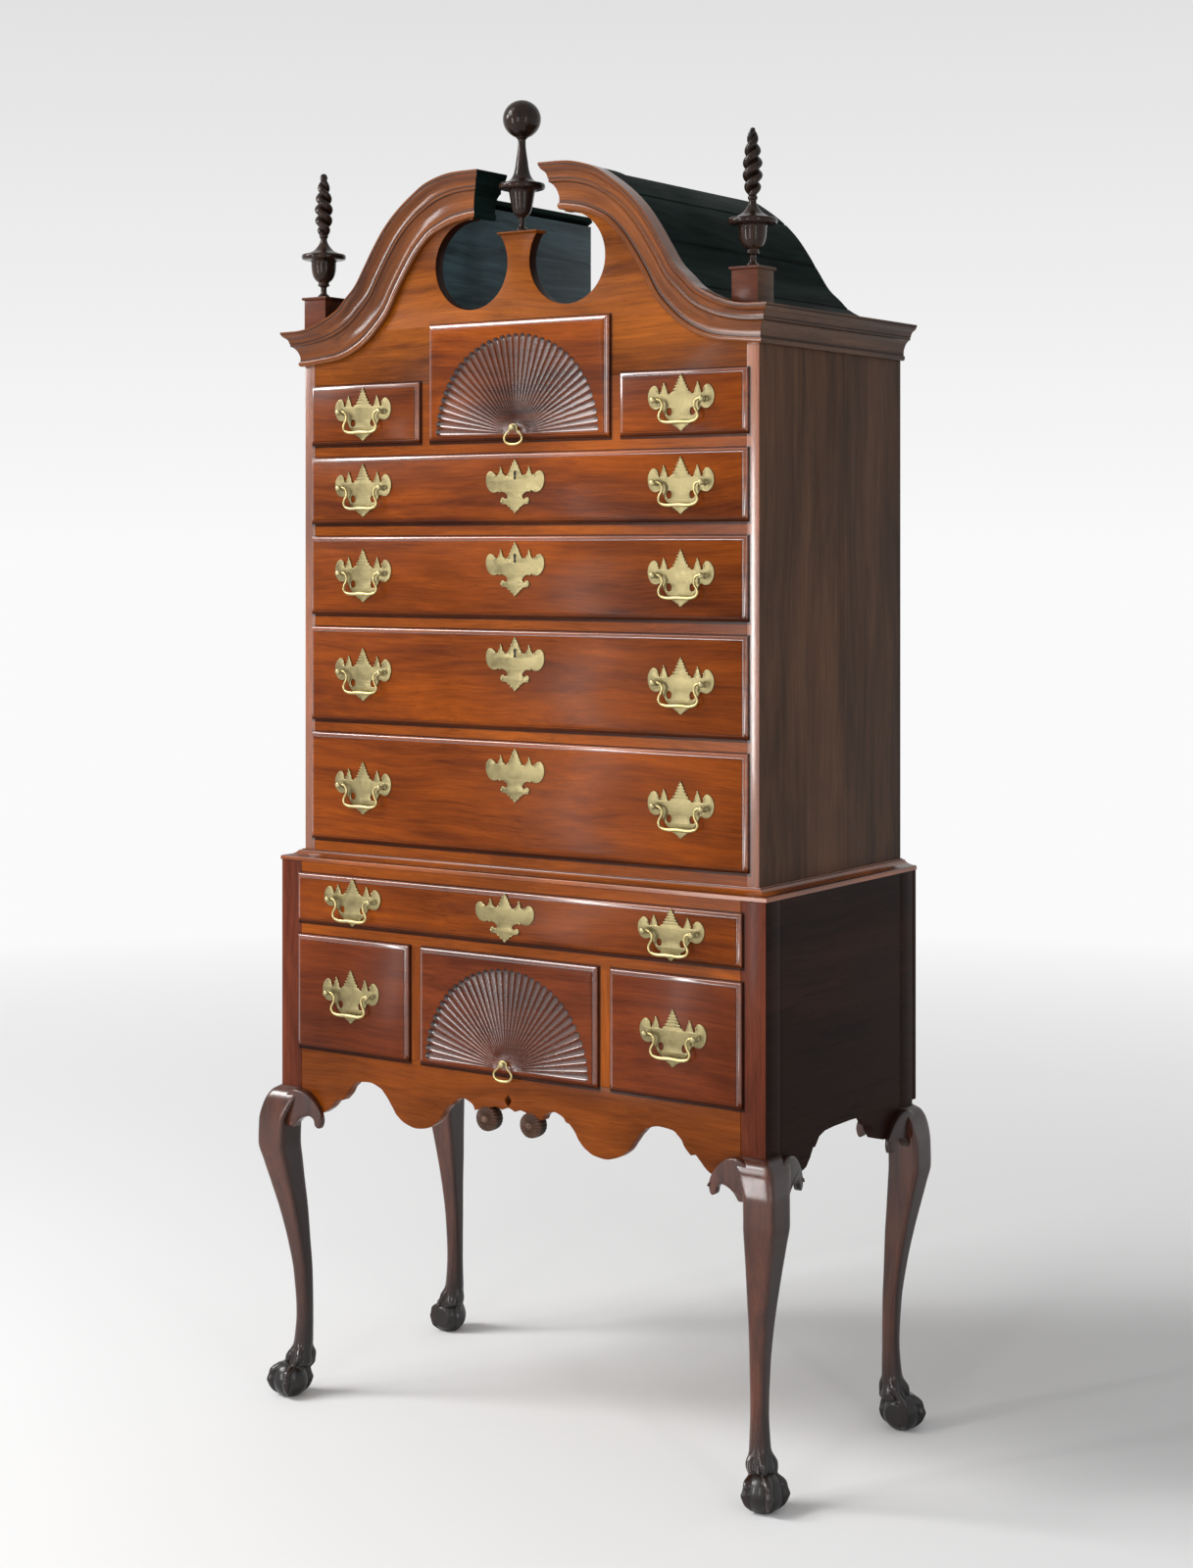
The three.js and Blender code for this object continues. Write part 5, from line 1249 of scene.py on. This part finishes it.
def post_skin(x, z, face, reach, radius, head):
    """Cast post turned about its own axis: collar, waist, ring and ball end, towards -y. No part
    of it is wider than its head."""
    rows = POST_SHARES * [reach, radius]
    rows[:, 1] = np.minimum(rows[:, 1], head)
    ahead, out = flowing(rows, 3).T[..., None]
    angle = around(24)
    out = np.maximum(out, 0)
    points = places(x + out * np.cos(angle), face - ahead, z + out * np.sin(angle))
    return Skin().grid(points, grime=np.clip(1 - ahead / (0.25 * reach), 0, 1) * 0.6)


class HIGHBOY_OT_brasses(bpy.types.Operator):
    """Casts the back plates, escutcheons, posts, bails and ring pulls"""

    bl_idname = "highboy.brasses"
    bl_label = "Brasses"

    def execute(self, context):
        brass = context.scene.highboy_brass
        thick = brass.plate_thick
        half = brass.post_spacing / 2
        right = flowing(BAIL_SHARES * [half, BAIL_DROP], 6)
        across, up = np.vstack([right, right[-2::-1] * [-1, 1]]).T
        # A bail swells in its bottom bow, more towards the middle.
        swell = np.clip(-up / BAIL_DROP * 4 - 3, 0, 1) * np.clip(1 - np.abs(across) / half / 0.7, 0, 1)
        radii = brass.bail_thick + (brass.bail_swell - brass.bail_thick) * np.sqrt(swell)
        for name in PLAIN_FRONTS:
            low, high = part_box(name)
            face = face_of(name) - LIP
            middle = (low.z + high.z) / 2
            scale = 0.9 if name == "lower_long_drawer" else 1.0
            z = middle + 4 * scale * MM
            metal = Skin()
            for hand in ["_left", "_right"] if "long" in name else [""]:
                bail = "bail_" + name + hand
                b_low, b_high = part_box(bail)
                x = (b_low.x + b_high.x) / 2
                metal.join(plate_skin(*PLATE, scale, (x, face, middle), thick))
                for post in (x - half, x + half):
                    metal.join(post_skin(post, z, face - thick * 0.5, 16.5 * MM, 3.2 * MM, 5.4 * MM))
                handle = Skin().grid(tube(places(x + across, face - BAIL_OUT, z + up), radii))
                finish_piece("swan_" + bail, handle, "bail_brass", bail, "brass", [bail])
            if "long" in name:
                # The escutcheon hangs just under the lip, with the keyhole over its middle.
                below = 2 * MM if name == "lower_long_drawer" else 10.5 * MM
                lock = high.z - below - 44 * MM * scale
                holes = []
                if name in UPPER_LONG[:3]:
                    holes = [KEYHOLE]
                    key = lock + 18 * MM
                    # A near-black sheet behind the keyhole is painted shade for its opening.
                    dark = plank(
                        -5 * MM, 5 * MM, face - 0.5 * MM, face + 2 * MM,
                        key - 10 * MM, key + 10 * MM, 0.1 * MM,
                    )
                    finish_piece(name + "_keyhole", dark, "keyhole_shade", name, None)
                metal.join(plate_skin(*ESCUTCHEON, holes, scale, (0, face, lock), thick))
            finish_piece(name + "_plates", metal, "cast_brass", name, "brass", angle=50)
        right = flowing(RING_SHARES * [RING_WIDE, RING_TALL], 6)
        across, up = np.vstack([right, (right * [-1, 1])[-2:0:-1]]).T
        radii = (1.4 + 0.8 * np.clip(0.5 - up / RING_TALL, 0, 1) ** 2) * MM
        for name in FANS:
            ring = "ring_" + name
            r_low, r_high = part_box(ring)
            y, middle = (r_low.y + r_high.y) / 2, (r_low.z + r_high.z) / 2
            post = post_skin(0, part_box(name)[0].z + 20 * MM, face_of(name) - LIP, 13 * MM, 3 * MM, 4.8 * MM)
            finish_piece(name + "_post", post, "cast_brass", name, "brass", angle=50)
            handle = Skin().grid(tube(places(across, y, middle + up), radii, 14, loop=True), OPEN)
            finish_piece("cast_" + ring, handle, "bail_brass", ring, "brass", [ring])
        return {"FINISHED"}


# Mouldings

WAIST_SHARES = np.array([
    [1, 0], [1, 0.26], [0.985, 0.34], [0.93, 0.41], [0.82, 0.42], [0.72, 0.44], [0.6, 0.5],
    [0.47, 0.58], [0.36, 0.69], [0.29, 0.81], [0.25, 0.9], [0.13, 0.9], [0.13, 1],
])
CROWN_SHARES = np.array([
    [0.13, 0], [0.2, 0.005], [0.26, 0.04], [0.275, 0.085], [0.26, 0.13], [0.2, 0.15], [0.2, 0.19],
    [0.205, 0.27], [0.25, 0.36], [0.31, 0.44], [0.4, 0.51], [0.52, 0.565], [0.6, 0.585], [0.6, 0.66],
    [0.63, 0.66], [0.66, 0.73], [0.73, 0.795], [0.83, 0.835], [0.92, 0.88], [0.97, 0.925], [0.97, 0.94],
    [1, 0.94], [1, 1],
])
# The swan neck's outer edge, then its inner one: share of its run, share of its rise.
NECK_SHARES = np.array([
    [1, 0, 1, 0], [0.935, 0.011, 0.91, 0.013], [0.813, 0.072, 0.747, 0.048], [0.722, 0.149, 0.617, 0.148],
    [0.692, 0.194, 0.55, 0.235], [0.633, 0.275, 0.492, 0.331], [0.573, 0.406, 0.418, 0.527],
    [0.515, 0.54, 0.36, 0.666], [0.456, 0.658, 0.313, 0.766], [0.397, 0.748, 0.266, 0.844],
    [0.339, 0.819, 0.221, 0.9], [0.282, 0.878, 0.174, 0.933], [0.224, 0.931, 0.136, 0.955],
    [0.166, 0.964, 0.105, 0.97], [0.083, 0.992, 0.05, 0.987], [0, 1, 0, 1],
])
WAIST_QUIRKS = (0.42, 0.91)
CROWN_QUIRKS = (0.155, 0.19, 0.585, 0.66, 0.94)
WAIST_TALL = 17.4 * MM
WAIST_PROUD = 1.5 * MM


def neck_edges(steps=6):
    """Outer and inner edge of the swan neck as lines of equal count, by splines through the table."""
    run = HALF_UPPER - NECK_END
    outer = flowing(NECK_SHARES[:, :2] * [run, CREST_RISE], steps)
    inner = flowing(NECK_SHARES[:, 2:] * [run, INNER_CREST_RISE], steps)
    return outer + [NECK_END, CORNICE_TOP], inner + [NECK_END, CORNICE_FOOT]


def neck_line(depth, steps=6):
    """The line at one depth under the neck's outer edge, towards the inner edge."""
    outer, inner = neck_edges(steps)
    return outer + unit(inner - outer) * depth


def run_along(line):
    """The length along a line up to each of its points."""
    return np.concatenate([[0], np.cumsum(np.linalg.norm(np.diff(line, axis=0), axis=1))])


def wall_profile(shares, steps, corners, reach, quirks, wide):
    """A moulding's profile, closed along the wall it lies on, with painted shade in its quirks, which
    is 0.95 exp(-((up - quirk) / wide)^2) at each named height: out, up and that painted shade."""
    wall = SEAT_GAP / reach
    out, up = np.vstack([[(wall, 0)], flowing(shares, steps, corners), [(wall, 1)]]).T
    dirt = np.max([0.95 * np.exp(-(((up - at) / wide) ** 2)) for at in quirks], axis=0)
    return out * reach, up, dirt


class HIGHBOY_OT_mouldings(bpy.types.Operator):
    """Runs the waist moulding, the cornice returns and the swan necks"""

    bl_idname = "highboy.mouldings"
    bl_label = "Mouldings"

    def execute(self, context):
        self.waist()
        out, up, dirt = wall_profile(
            CROWN_SHARES, 4, (0, 4, 5, 6, 12, 13, 14, 19, 20, 21, 22), CROWN_REACH, CROWN_QUIRKS, 0.017
        )
        z = CORNICE_FOOT + (CORNICE_TOP - CORNICE_FOOT) * up
        rings = [places(HALF_UPPER + out, y, z) for y in (UPPER_FACE - out + 0.6 * MM, BACK_PLANE)]
        skin = Skin().grid(np.array(rings), FLAT, dirt)
        finish_pair("cornice_run", skin, "cornice_mahogany", "dark_mahogany", "cornice_return", angle=30)
        outer, inner = neck_edges()
        # The ends are mitred, towards the return moulding and towards the block over the plinth.
        mitre = np.zeros((len(outer), 1))
        mitre[0], mitre[-1] = 1, -1
        at_x, at_z = (inner[:, k, None] + (outer - inner)[:, k, None] * up for k in (0, 1))
        rings = places(at_x + mitre * out, UPPER_FACE - out, at_z)
        run = run_along((outer + inner) / 2)[:, None]
        grain = places(run, out, np.linalg.norm(outer - inner, axis=1)[:, None] * up)
        tail = places(at_x[-1] - out, UPPER_FACE + NECK_RETURN, at_z[-1])
        block = Skin().grid(
            np.stack([rings[-1], tail]), (None, "flat"), grain=np.stack([grain[-1], grain[-1] + [0.06, 0, 0]])
        )
        # The neck's short return takes the bonnet's dark paint: partly the bonnet's own paint, partly painted
        # shade.
        finish_pair("swan_neck_end", block, "bonnet_boards", "bonnet_paint")
        skin = Skin().grid(rings, ("flat", None), dirt, grain)
        finish_pair("swan_neck_run", skin, "neck_mahogany", "mahogany", "swan_neck", angle=30, grain=True)
        return {"FINISHED"}

    def waist(self):
        """The waist moulding's profile, carried round the left side, the front and the right side."""
        reach = HALF_LOWER + WAIST_PROUD - HALF_UPPER
        front = UPPER_FACE - LOWER_FACE + WAIST_PROUD
        out, up, dirt = wall_profile(WAIST_SHARES, 4, (0, 1, 4, 10, 11, 12), reach, WAIST_QUIRKS, 0.03)
        z = WAIST + WAIST_TALL * up
        rings, grain = [], []
        for side, ahead, run in ((-1, 0, 0), (-1, 1, 0.49), (1, 1, 1.44), (1, 0, 2.39)):
            y = UPPER_FACE - front * out / reach if ahead else BACK_PLANE
            rings.append(places(side * (HALF_UPPER + out), y, z))
            grain.append(places(run, out, z))
        skin = Skin().grid(np.array(rings), FLAT, dirt, np.array(grain))
        finish_piece(
            "waist_run", skin, "waist_mahogany", "case", "mahogany", ["waist_moulding"], 30, grain=True
        )


# Pediment and bonnet

# Moulded edge of a plinth's cap: how far out, and the height under its top, in millimetres.
MIDDLE_CAP = np.array([
    [0.2, -5.4], [0.2, -4.2], [1.6, -3.8], [2.5, -2.6], [2.6, -1.2], [2.2, -0.2], [1.6, 0]
])
CORNER_CAP = np.array([
    [0, -5.2], [1.2, -5.0], [2.6, -4.2], [3.3, -2.8], [3.3, -1.2], [2.9, -0.3], [2.2, 0]
])
# The notch over the tall middle drawer, and the foot of the boards that close the roofs' inner ends.
NOTCH_FOOT, NOTCH_HEAD = TOP_FOOT + 98 * MM, TOP_FOOT + 191 * MM
CHEEK_FOOT = TOP_FOOT + 203 * MM
CHEEK_THICK = 9 * MM
INNER_END = 173 * MM
# Depths under the neck's outer edge: the roof's upper and lower side, and the pediment board's edge.
ROOF_UPPER, ROOF_LOWER, BOARD_EDGE = 1.5 * MM, 11.5 * MM, 12.1 * MM


def cap_rings(rows, x0, x1, y0, y1, top, deep=1):
    """A cap's moulded edge carried round a rectangle, deep times as far out to front and back."""
    return np.array([
        [(x0 - out, y0 - out * deep, top + up), (x1 + out, y0 - out * deep, top + up),
         (x1 + out, y1 + out * deep, top + up), (x0 - out, y1 + out * deep, top + up)]
        for out, up in flowing(rows * MM, 3)
    ])


class HIGHBOY_OT_pediment(bpy.types.Operator):
    """Cuts the pediment board with its two round openings and the capped plinths"""

    bl_idname = "highboy.pediment"
    bl_label = "Pediment"

    def execute(self, context):
        half = UPPER_INNER - SEAT_GAP
        line = neck_line(BOARD_EDGE)
        line = line[line[:, 0] < half]
        start = math.acos((PLINTH_HALF - HOLE_CENTRE) / HOLE_RADIUS)
        end = TURN + math.acos((NECK_END - HOLE_CENTRE) / HOLE_RADIUS)
        turn = np.linspace(start, end, 73)
        arc = np.stack([np.cos(turn), np.sin(turn)], -1) * HOLE_RADIUS + [HOLE_CENTRE, HOLE_HEIGHT]
        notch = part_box("top_drawer_centre")[1].x - 4 * MM
        outline = both_halves(np.vstack([
            [(0, PLINTH_TOP), (PLINTH_HALF, PLINTH_TOP)], arc, line[::-1],
            [(half, line[0, 1]), (half, NOTCH_FOOT), (notch, NOTCH_FOOT), (notch, NOTCH_HEAD),
             (0, NOTCH_HEAD)],
        ]))
        skin = cut_board([outline], UPPER_FACE, UPPER_FACE + PEDIMENT_THICK, 0.7 * MM)
        # The bonnet's paint runs over the cut edge of the openings.
        for points, grime in zip(skin.points, skin.grime):
            near = np.hypot(np.abs(points[:, 0]) - HOLE_CENTRE, points[:, 2] - HOLE_HEIGHT)
            grime[(near < HOLE_RADIUS + 0.2 * MM) & (points[:, 1] > UPPER_FACE + 0.5 * MM)] = 1.0
        for name, made, nodes in (
            ("pierced_pediment", skin, ["pediment_board"]),
            ("middle_plinth_cap", Skin().grid(cap_rings(
                MIDDLE_CAP, -PLINTH_HALF, PLINTH_HALF, UPPER_FACE, UPPER_FACE + PEDIMENT_THICK, PLINTH_TOP, 2
            ), FLAT), ()),
        ):
            finish_piece(name, made, "pediment_mahogany", "case", "mahogany", nodes, beside=TOP_DRAWERS)
        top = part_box("plinth_right")[1].z
        x0, x1, y0 = HALF_UPPER - CORNER_PLINTH, HALF_UPPER, UPPER_FACE - 3 * MM
        crown = neck_line(-SEAT_GAP)
        crown = crown[(crown[:, 0] > x0 - 2 * MM) & (crown[:, 0] < x1)][::-1]
        under = np.interp(x0, crown[:, 0], crown[:, 1])
        side = top - 4 * MM
        outline = [(x1, CORNICE_TOP + 0.2 * MM), (x1, side), (x0, side), (x0, under)]
        block = cut_board([np.vstack([outline, crown[crown[:, 0] > x0]])], y0, y0 + CORNER_PLINTH, 0.6 * MM)
        block.grid(cap_rings(CORNER_CAP, x0, x1, y0, y0 + CORNER_PLINTH, top), FLAT)
        for piece in finish_pair("corner_plinth", block, "plinth_mahogany", "dark_mahogany", "plinth"):
            second_finish(
                piece, "cornice_mahogany", lambda middles: np.abs(middles[:, 0]) > HALF_UPPER - 0.7 * MM
            )
        return {"FINISHED"}


class HIGHBOY_OT_bonnet(bpy.types.Operator):
    """Lays the bonnet's thin boards over the swan necks and closes their inner ends"""

    bl_idname = "highboy.bonnet"
    bl_label = "Bonnet"

    def execute(self, context):
        top, under = neck_line(ROOF_UPPER, 12), neck_line(ROOF_LOWER, 12)
        # Narrow open joints between the boards, every 98 mm along the curve.
        joint = np.abs((run_along(top) + 40 * MM) % (98 * MM) - 49 * MM)
        sunk = 1.4 * MM * np.exp(-((joint / (1.3 * MM)) ** 2))
        worn_top = top + unit(under - top) * sunk[:, None]
        dirt = np.exp(-((joint / (2.2 * MM)) ** 2)) * 0.8
        ends = np.flatnonzero(top[:, 0] >= INNER_END)[-1] + 1
        skin = Skin()
        for chosen, back in (
            (slice(0, ends), BACK_PLANE), (slice(ends - 1, None), UPPER_FACE + NECK_RETURN)
        ):
            x, z = np.vstack([worn_top[chosen], under[chosen][::-1]]).T
            shade = np.append(dirt[chosen], np.full(len(x) // 2, 0.3))
            skin.grid(places(x, np.linspace(UPPER_FACE, back, 9)[:, None], z), FLAT, shade)
        front = UPPER_FACE + PEDIMENT_THICK + SEAT_GAP
        outer_end = INNER_END + CHEEK_THICK
        foot = CHEEK_FOOT + SEAT_GAP
        head = np.interp([INNER_END, outer_end], under[::-1, 0], under[::-1, 1]).min()
        boards = Skin()
        cuts = np.linspace(foot, head, 4)
        for z0, z1 in zip(cuts[:-1], cuts[1:]):
            z0, z1 = z0 + 0.2 * MM, z1 - 0.2 * MM
            boards.join(plank(INNER_END, outer_end, front, BACK_PLANE, z0, z1, 0.8 * MM))
        finish_pair("bonnet_boards", skin, "bonnet_boards", "bonnet_paint", "bonnet_roof", angle=30)
        finish_pair("bonnet_cheek", boards, "cheek_boards", "bonnet_paint")
        return {"FINISHED"}


# Finials

# Turnings from foot to tip: share of the whole height, share of the greatest radius.
URN_SHARES = np.array([
    [0, 0], [0, 0.27], [0.012, 0.27], [0.02, 0.24], [0.035, 0.15], [0.06, 0.13], [0.085, 0.15],
    [0.094, 0.25], [0.103, 0.27], [0.112, 0.24], [0.12, 0.24], [0.14, 0.36], [0.17, 0.47],
    [0.21, 0.535], [0.26, 0.56], [0.285, 0.57], [0.295, 0.6], [0.302, 0.86], [0.31, 0.97],
    [0.33, 1], [0.345, 0.97], [0.352, 0.8], [0.36, 0.68], [0.38, 0.46], [0.405, 0.32],
    [0.43, 0.22], [0.45, 0.17], [0.475, 0.15], [0.488, 0.19], [0.5, 0.2], [0.512, 0.15],
    [0.515, 0],
])
FLAME_SHARES = np.array([
    [0.495, 0], [0.5, 0.42], [0.53, 0.68], [0.58, 0.88], [0.65, 1], [0.73, 1], [0.81, 0.88],
    [0.88, 0.7], [0.94, 0.52], [0.975, 0.4], [0.994, 0.24], [1, 0.03],
])
MIDDLE_SHARES = np.array([
    [0, 0], [0, 0.26], [0.012, 0.26], [0.02, 0.23], [0.035, 0.14], [0.07, 0.125], [0.1, 0.14],
    [0.12, 0.26], [0.135, 0.35], [0.165, 0.42], [0.21, 0.47], [0.27, 0.53], [0.3, 0.57],
    [0.31, 0.62], [0.317, 0.88], [0.325, 0.97], [0.343, 1], [0.36, 0.97], [0.367, 0.8],
    [0.375, 0.66], [0.39, 0.52], [0.42, 0.4], [0.47, 0.31], [0.53, 0.26], [0.6, 0.2],
    [0.67, 0.165], [0.7, 0.18], [0.715, 0.26], [0.725, 0.26], [0.735, 0.19], [0.74, 0],
])
URN_RADIUS, FLAME_RADIUS, BALL_RADIUS = 38 * MM, 13.5 * MM, 31 * MM
SPIRAL_TURNS = 2.7


def spiral(angle, up):
    """|sin(a - turns)|, which is 0 along the two grooves that wind up a flame."""
    return np.abs(np.sin(angle - TURN * SPIRAL_TURNS * (up - 0.5) / 0.5))


class HIGHBOY_OT_finials(bpy.types.Operator):
    """Turns the urns and cuts the spiral flames and the middle ball"""

    bl_idname = "highboy.finials"
    bl_label = "Finials"

    def execute(self, context):
        low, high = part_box("finial_right")
        tall = high.z - low.z
        skin = Skin().grid(turned(URN_SHARES, tall, URN_RADIUS, corners=(1, 2, 7, 9, 30)))
        flame = turned(
            FLAME_SHARES, tall, FLAME_RADIUS, 96, 14,
            cut=lambda angle, up: 1.14 - 0.56 * (1 - spiral(angle, up)) ** 1.2,
        )
        groove = np.clip(1 - spiral(around(96), flame[:, :1, 2] / tall) * 1.8, 0, 1)
        skin.grid(flame, grime=groove * 0.8)
        skin = skin.moved(((low.x + high.x) / 2, (low.y + high.y) / 2, low.z))
        finish_pair("flame_finial", skin, "turned_wood", "turned_wood", "finial", angle=40)
        low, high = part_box("finial_centre")
        tall = high.z - low.z
        middle = Skin().grid(turned(MIDDLE_SHARES, tall, URN_RADIUS, corners=(1, 2)))
        a, b = np.linspace(-math.pi / 2, math.pi / 2, 49)[:, None], around(72)
        flat = BALL_RADIUS * np.cos(a)
        middle.grid(places(flat * np.cos(b), flat * np.sin(b), tall - BALL_RADIUS + BALL_RADIUS * np.sin(a)))
        middle = middle.moved((0, UPPER_FACE + PEDIMENT_THICK / 2, low.z))
        finish_piece("ball_finial", middle, "turned_wood", "case", "turned_wood", ["finial_centre"], 40)
        return {"FINISHED"}


# Stage


def seen_directly(t):
    """1 where the camera, a mirror or glass looks, 0 where the surface only gives light."""
    path = t.node("LightPath").outputs
    seen = t.maths("MAXIMUM", path["Is Camera Ray"], path["Is Glossy Ray"])
    return t.maths("MAXIMUM", seen, path["Is Transmission Ray"])


class HIGHBOY_OT_stage(bpy.types.Operator):
    """Sets the pale floor, the studio lights, the backdrop and the camera"""

    bl_idname = "highboy.stage"
    bl_label = "Stage and camera"

    def execute(self, context):
        context.scene.view_settings.view_transform = "Standard"
        stage = context.scene.highboy_stage
        self.floor(context.scene, stage)
        self.backdrop(context.scene, stage)
        self.lights(context.scene, stage)
        self.camera(context.scene)
        return {"FINISHED"}

    def floor(self, scene, stage):
        """A wide floor, which melts into the backdrop for the camera and in mirrors far from the
        middle, and keeps the shadow near it."""
        mesh = bpy.data.meshes.new("studio_floor")
        far = 60.0
        mesh.from_pydata([(-far, -far, 0), (far, -far, 0), (far, far, 0), (-far, far, 0)], [], [(0, 1, 2, 3)])
        ground = bpy.data.objects.new("studio_floor", mesh)
        scene.collection.objects.link(ground)
        t = Tree(bpy.data.materials.new("studio_floor"))
        mesh.materials.append(t.surface(paint(stage.floor_colour), 0.8, Specular_IOR_Level=0.1))
        away = t.node("VectorMath", {0: t.place()}, operation="LENGTH").outputs["Value"]
        share = t.times(t.spread(away, 1.2, 5.5), seen_directly(t))
        plain = t.node("Emission", {"Color": paint(stage.horizon), "Strength": 1.0}).outputs[0]
        near = t.tree.nodes["Principled BSDF"].outputs[0]
        mixed = t.node("MixShader", {0: share, 1: near, 2: plain}).outputs[0]
        t.feed(t.tree.nodes["Material Output"], {"Surface": mixed})

    def backdrop(self, scene, stage):
        """A backdrop that darkens overhead, and plain ambient light."""
        scene.world = bpy.data.worlds.new("studio")
        t = Tree(scene.world)
        t.tree.nodes.clear()
        ambient = t.node("Background", {"Color": (1, 1, 1, 1), "Strength": stage.fill}).outputs[0]
        up = t.axes(t.node("TexCoord").outputs["Generated"])[2]
        pale = t.mix(t.spread(up, 0.0, 0.22), stage.horizon, stage.sky)
        backdrop = t.node("Background", {"Color": pale, "Strength": 1.0}).outputs[0]
        mixed = t.node("MixShader", {0: seen_directly(t), 1: ambient, 2: backdrop}).outputs[0]
        t.node("OutputWorld", {0: mixed})

    def lights(self, scene, stage):
        """Name, place, target, size and power of each light. The sun's size is its angle."""
        middle = (0.0, -0.2, 1.3)
        for name, place, target, size, power in (
            ("main_light", (-3.0, -3.0, 4.1), (0, 0, 0), 0.42, stage.sun),
            ("soft_box", (-3.4, -2.1, 3.0), middle, 1.0, stage.box),
            ("side_strip", (3.4, -2.1, 1.45), (0.4, -0.1, 1.2), (0.22, 1.9), stage.side),
            ("key_strip", (-2.65, -2.45, 4.3), middle, (1.6, 0.9), stage.key),
            ("sheen_strip", (-1.95, -4.22, 1.23), (0.4, -0.2, 1.3), (0.35, 2.0), stage.sheen),
            ("front_strip", (0.95, -4.6, 1.35), (0.2, -0.2, 1.3), (0.4, 2.0), stage.front),
            ("lip_strip", (-3.7, -4.2, 4.3), middle, (2.6, 1.0), stage.lips),
        ):
            data = bpy.data.lights.new(name, "SUN" if name == "main_light" else "AREA")
            if name == "main_light":
                data.angle = size
            elif name == "soft_box":
                data.shape, data.size = "DISK", size
            else:
                data.shape = "RECTANGLE"
                data.size, data.size_y = size
            data.energy = power
            lamp = bpy.data.objects.new(name, data)
            lamp.location = place
            lamp.rotation_mode = "QUATERNION"
            lamp.rotation_quaternion = (Vector(target) - Vector(place)).to_track_quat("-Z", "Y")
            scene.collection.objects.link(lamp)

    def camera(self, scene):
        """The photograph's own view, level and from the right."""
        data = bpy.data.cameras.new("camera")
        data.lens = 58.9
        data.sensor_width = 36
        data.shift_y = -0.15
        data.clip_end = 120
        camera = bpy.data.objects.new("camera", data)
        camera.rotation_euler = (math.pi / 2, 0, math.radians(34.52))
        camera.location = (2.460, -3.5551, 1.453)
        scene.collection.objects.link(camera)
        scene.camera = camera


STEPS = (
    HIGHBOY_OT_case, HIGHBOY_OT_legs, HIGHBOY_OT_apron, HIGHBOY_OT_drawers, HIGHBOY_OT_brasses,
    HIGHBOY_OT_mouldings, HIGHBOY_OT_pediment, HIGHBOY_OT_bonnet, HIGHBOY_OT_finials, HIGHBOY_OT_stage,
)
GROUPS = (
    ("highboy_woods", HighboyWoods), ("highboy_brass", HighboyBrass),
    ("highboy_carving", HighboyCarving), ("highboy_stage", HighboyStage),
)


class HIGHBOY_PT_panel(bpy.types.Panel):
    """Lists the highboy's sizes, colours and steps"""

    bl_idname = "HIGHBOY_PT_panel"
    bl_label = "Highboy"
    bl_space_type = "VIEW_3D"
    bl_region_type = "UI"
    bl_category = "Highboy"

    def draw(self, context):
        layout = self.layout
        for step in STEPS:
            layout.operator(step.bl_idname)
        for key, group in GROUPS:
            box = layout.box()
            values = getattr(context.scene, key)
            for name in group.__annotations__:
                box.prop(values, name)


def register():
    for each in (*[group for _, group in GROUPS], *STEPS, HIGHBOY_PT_panel):
        bpy.utils.register_class(each)
    for key, group in GROUPS:
        setattr(bpy.types.Scene, key, PointerProperty(type=group))


def unregister():
    for key, _ in GROUPS:
        delattr(bpy.types.Scene, key)
    for each in (HIGHBOY_PT_panel, *STEPS[::-1], *[group for _, group in GROUPS]):
        bpy.utils.unregister_class(each)


def main():
    register()
    for step in STEPS:
        group, name = step.bl_idname.split(".")
        getattr(getattr(bpy.ops, group), name)()


if __name__ == "__main__":
    main()
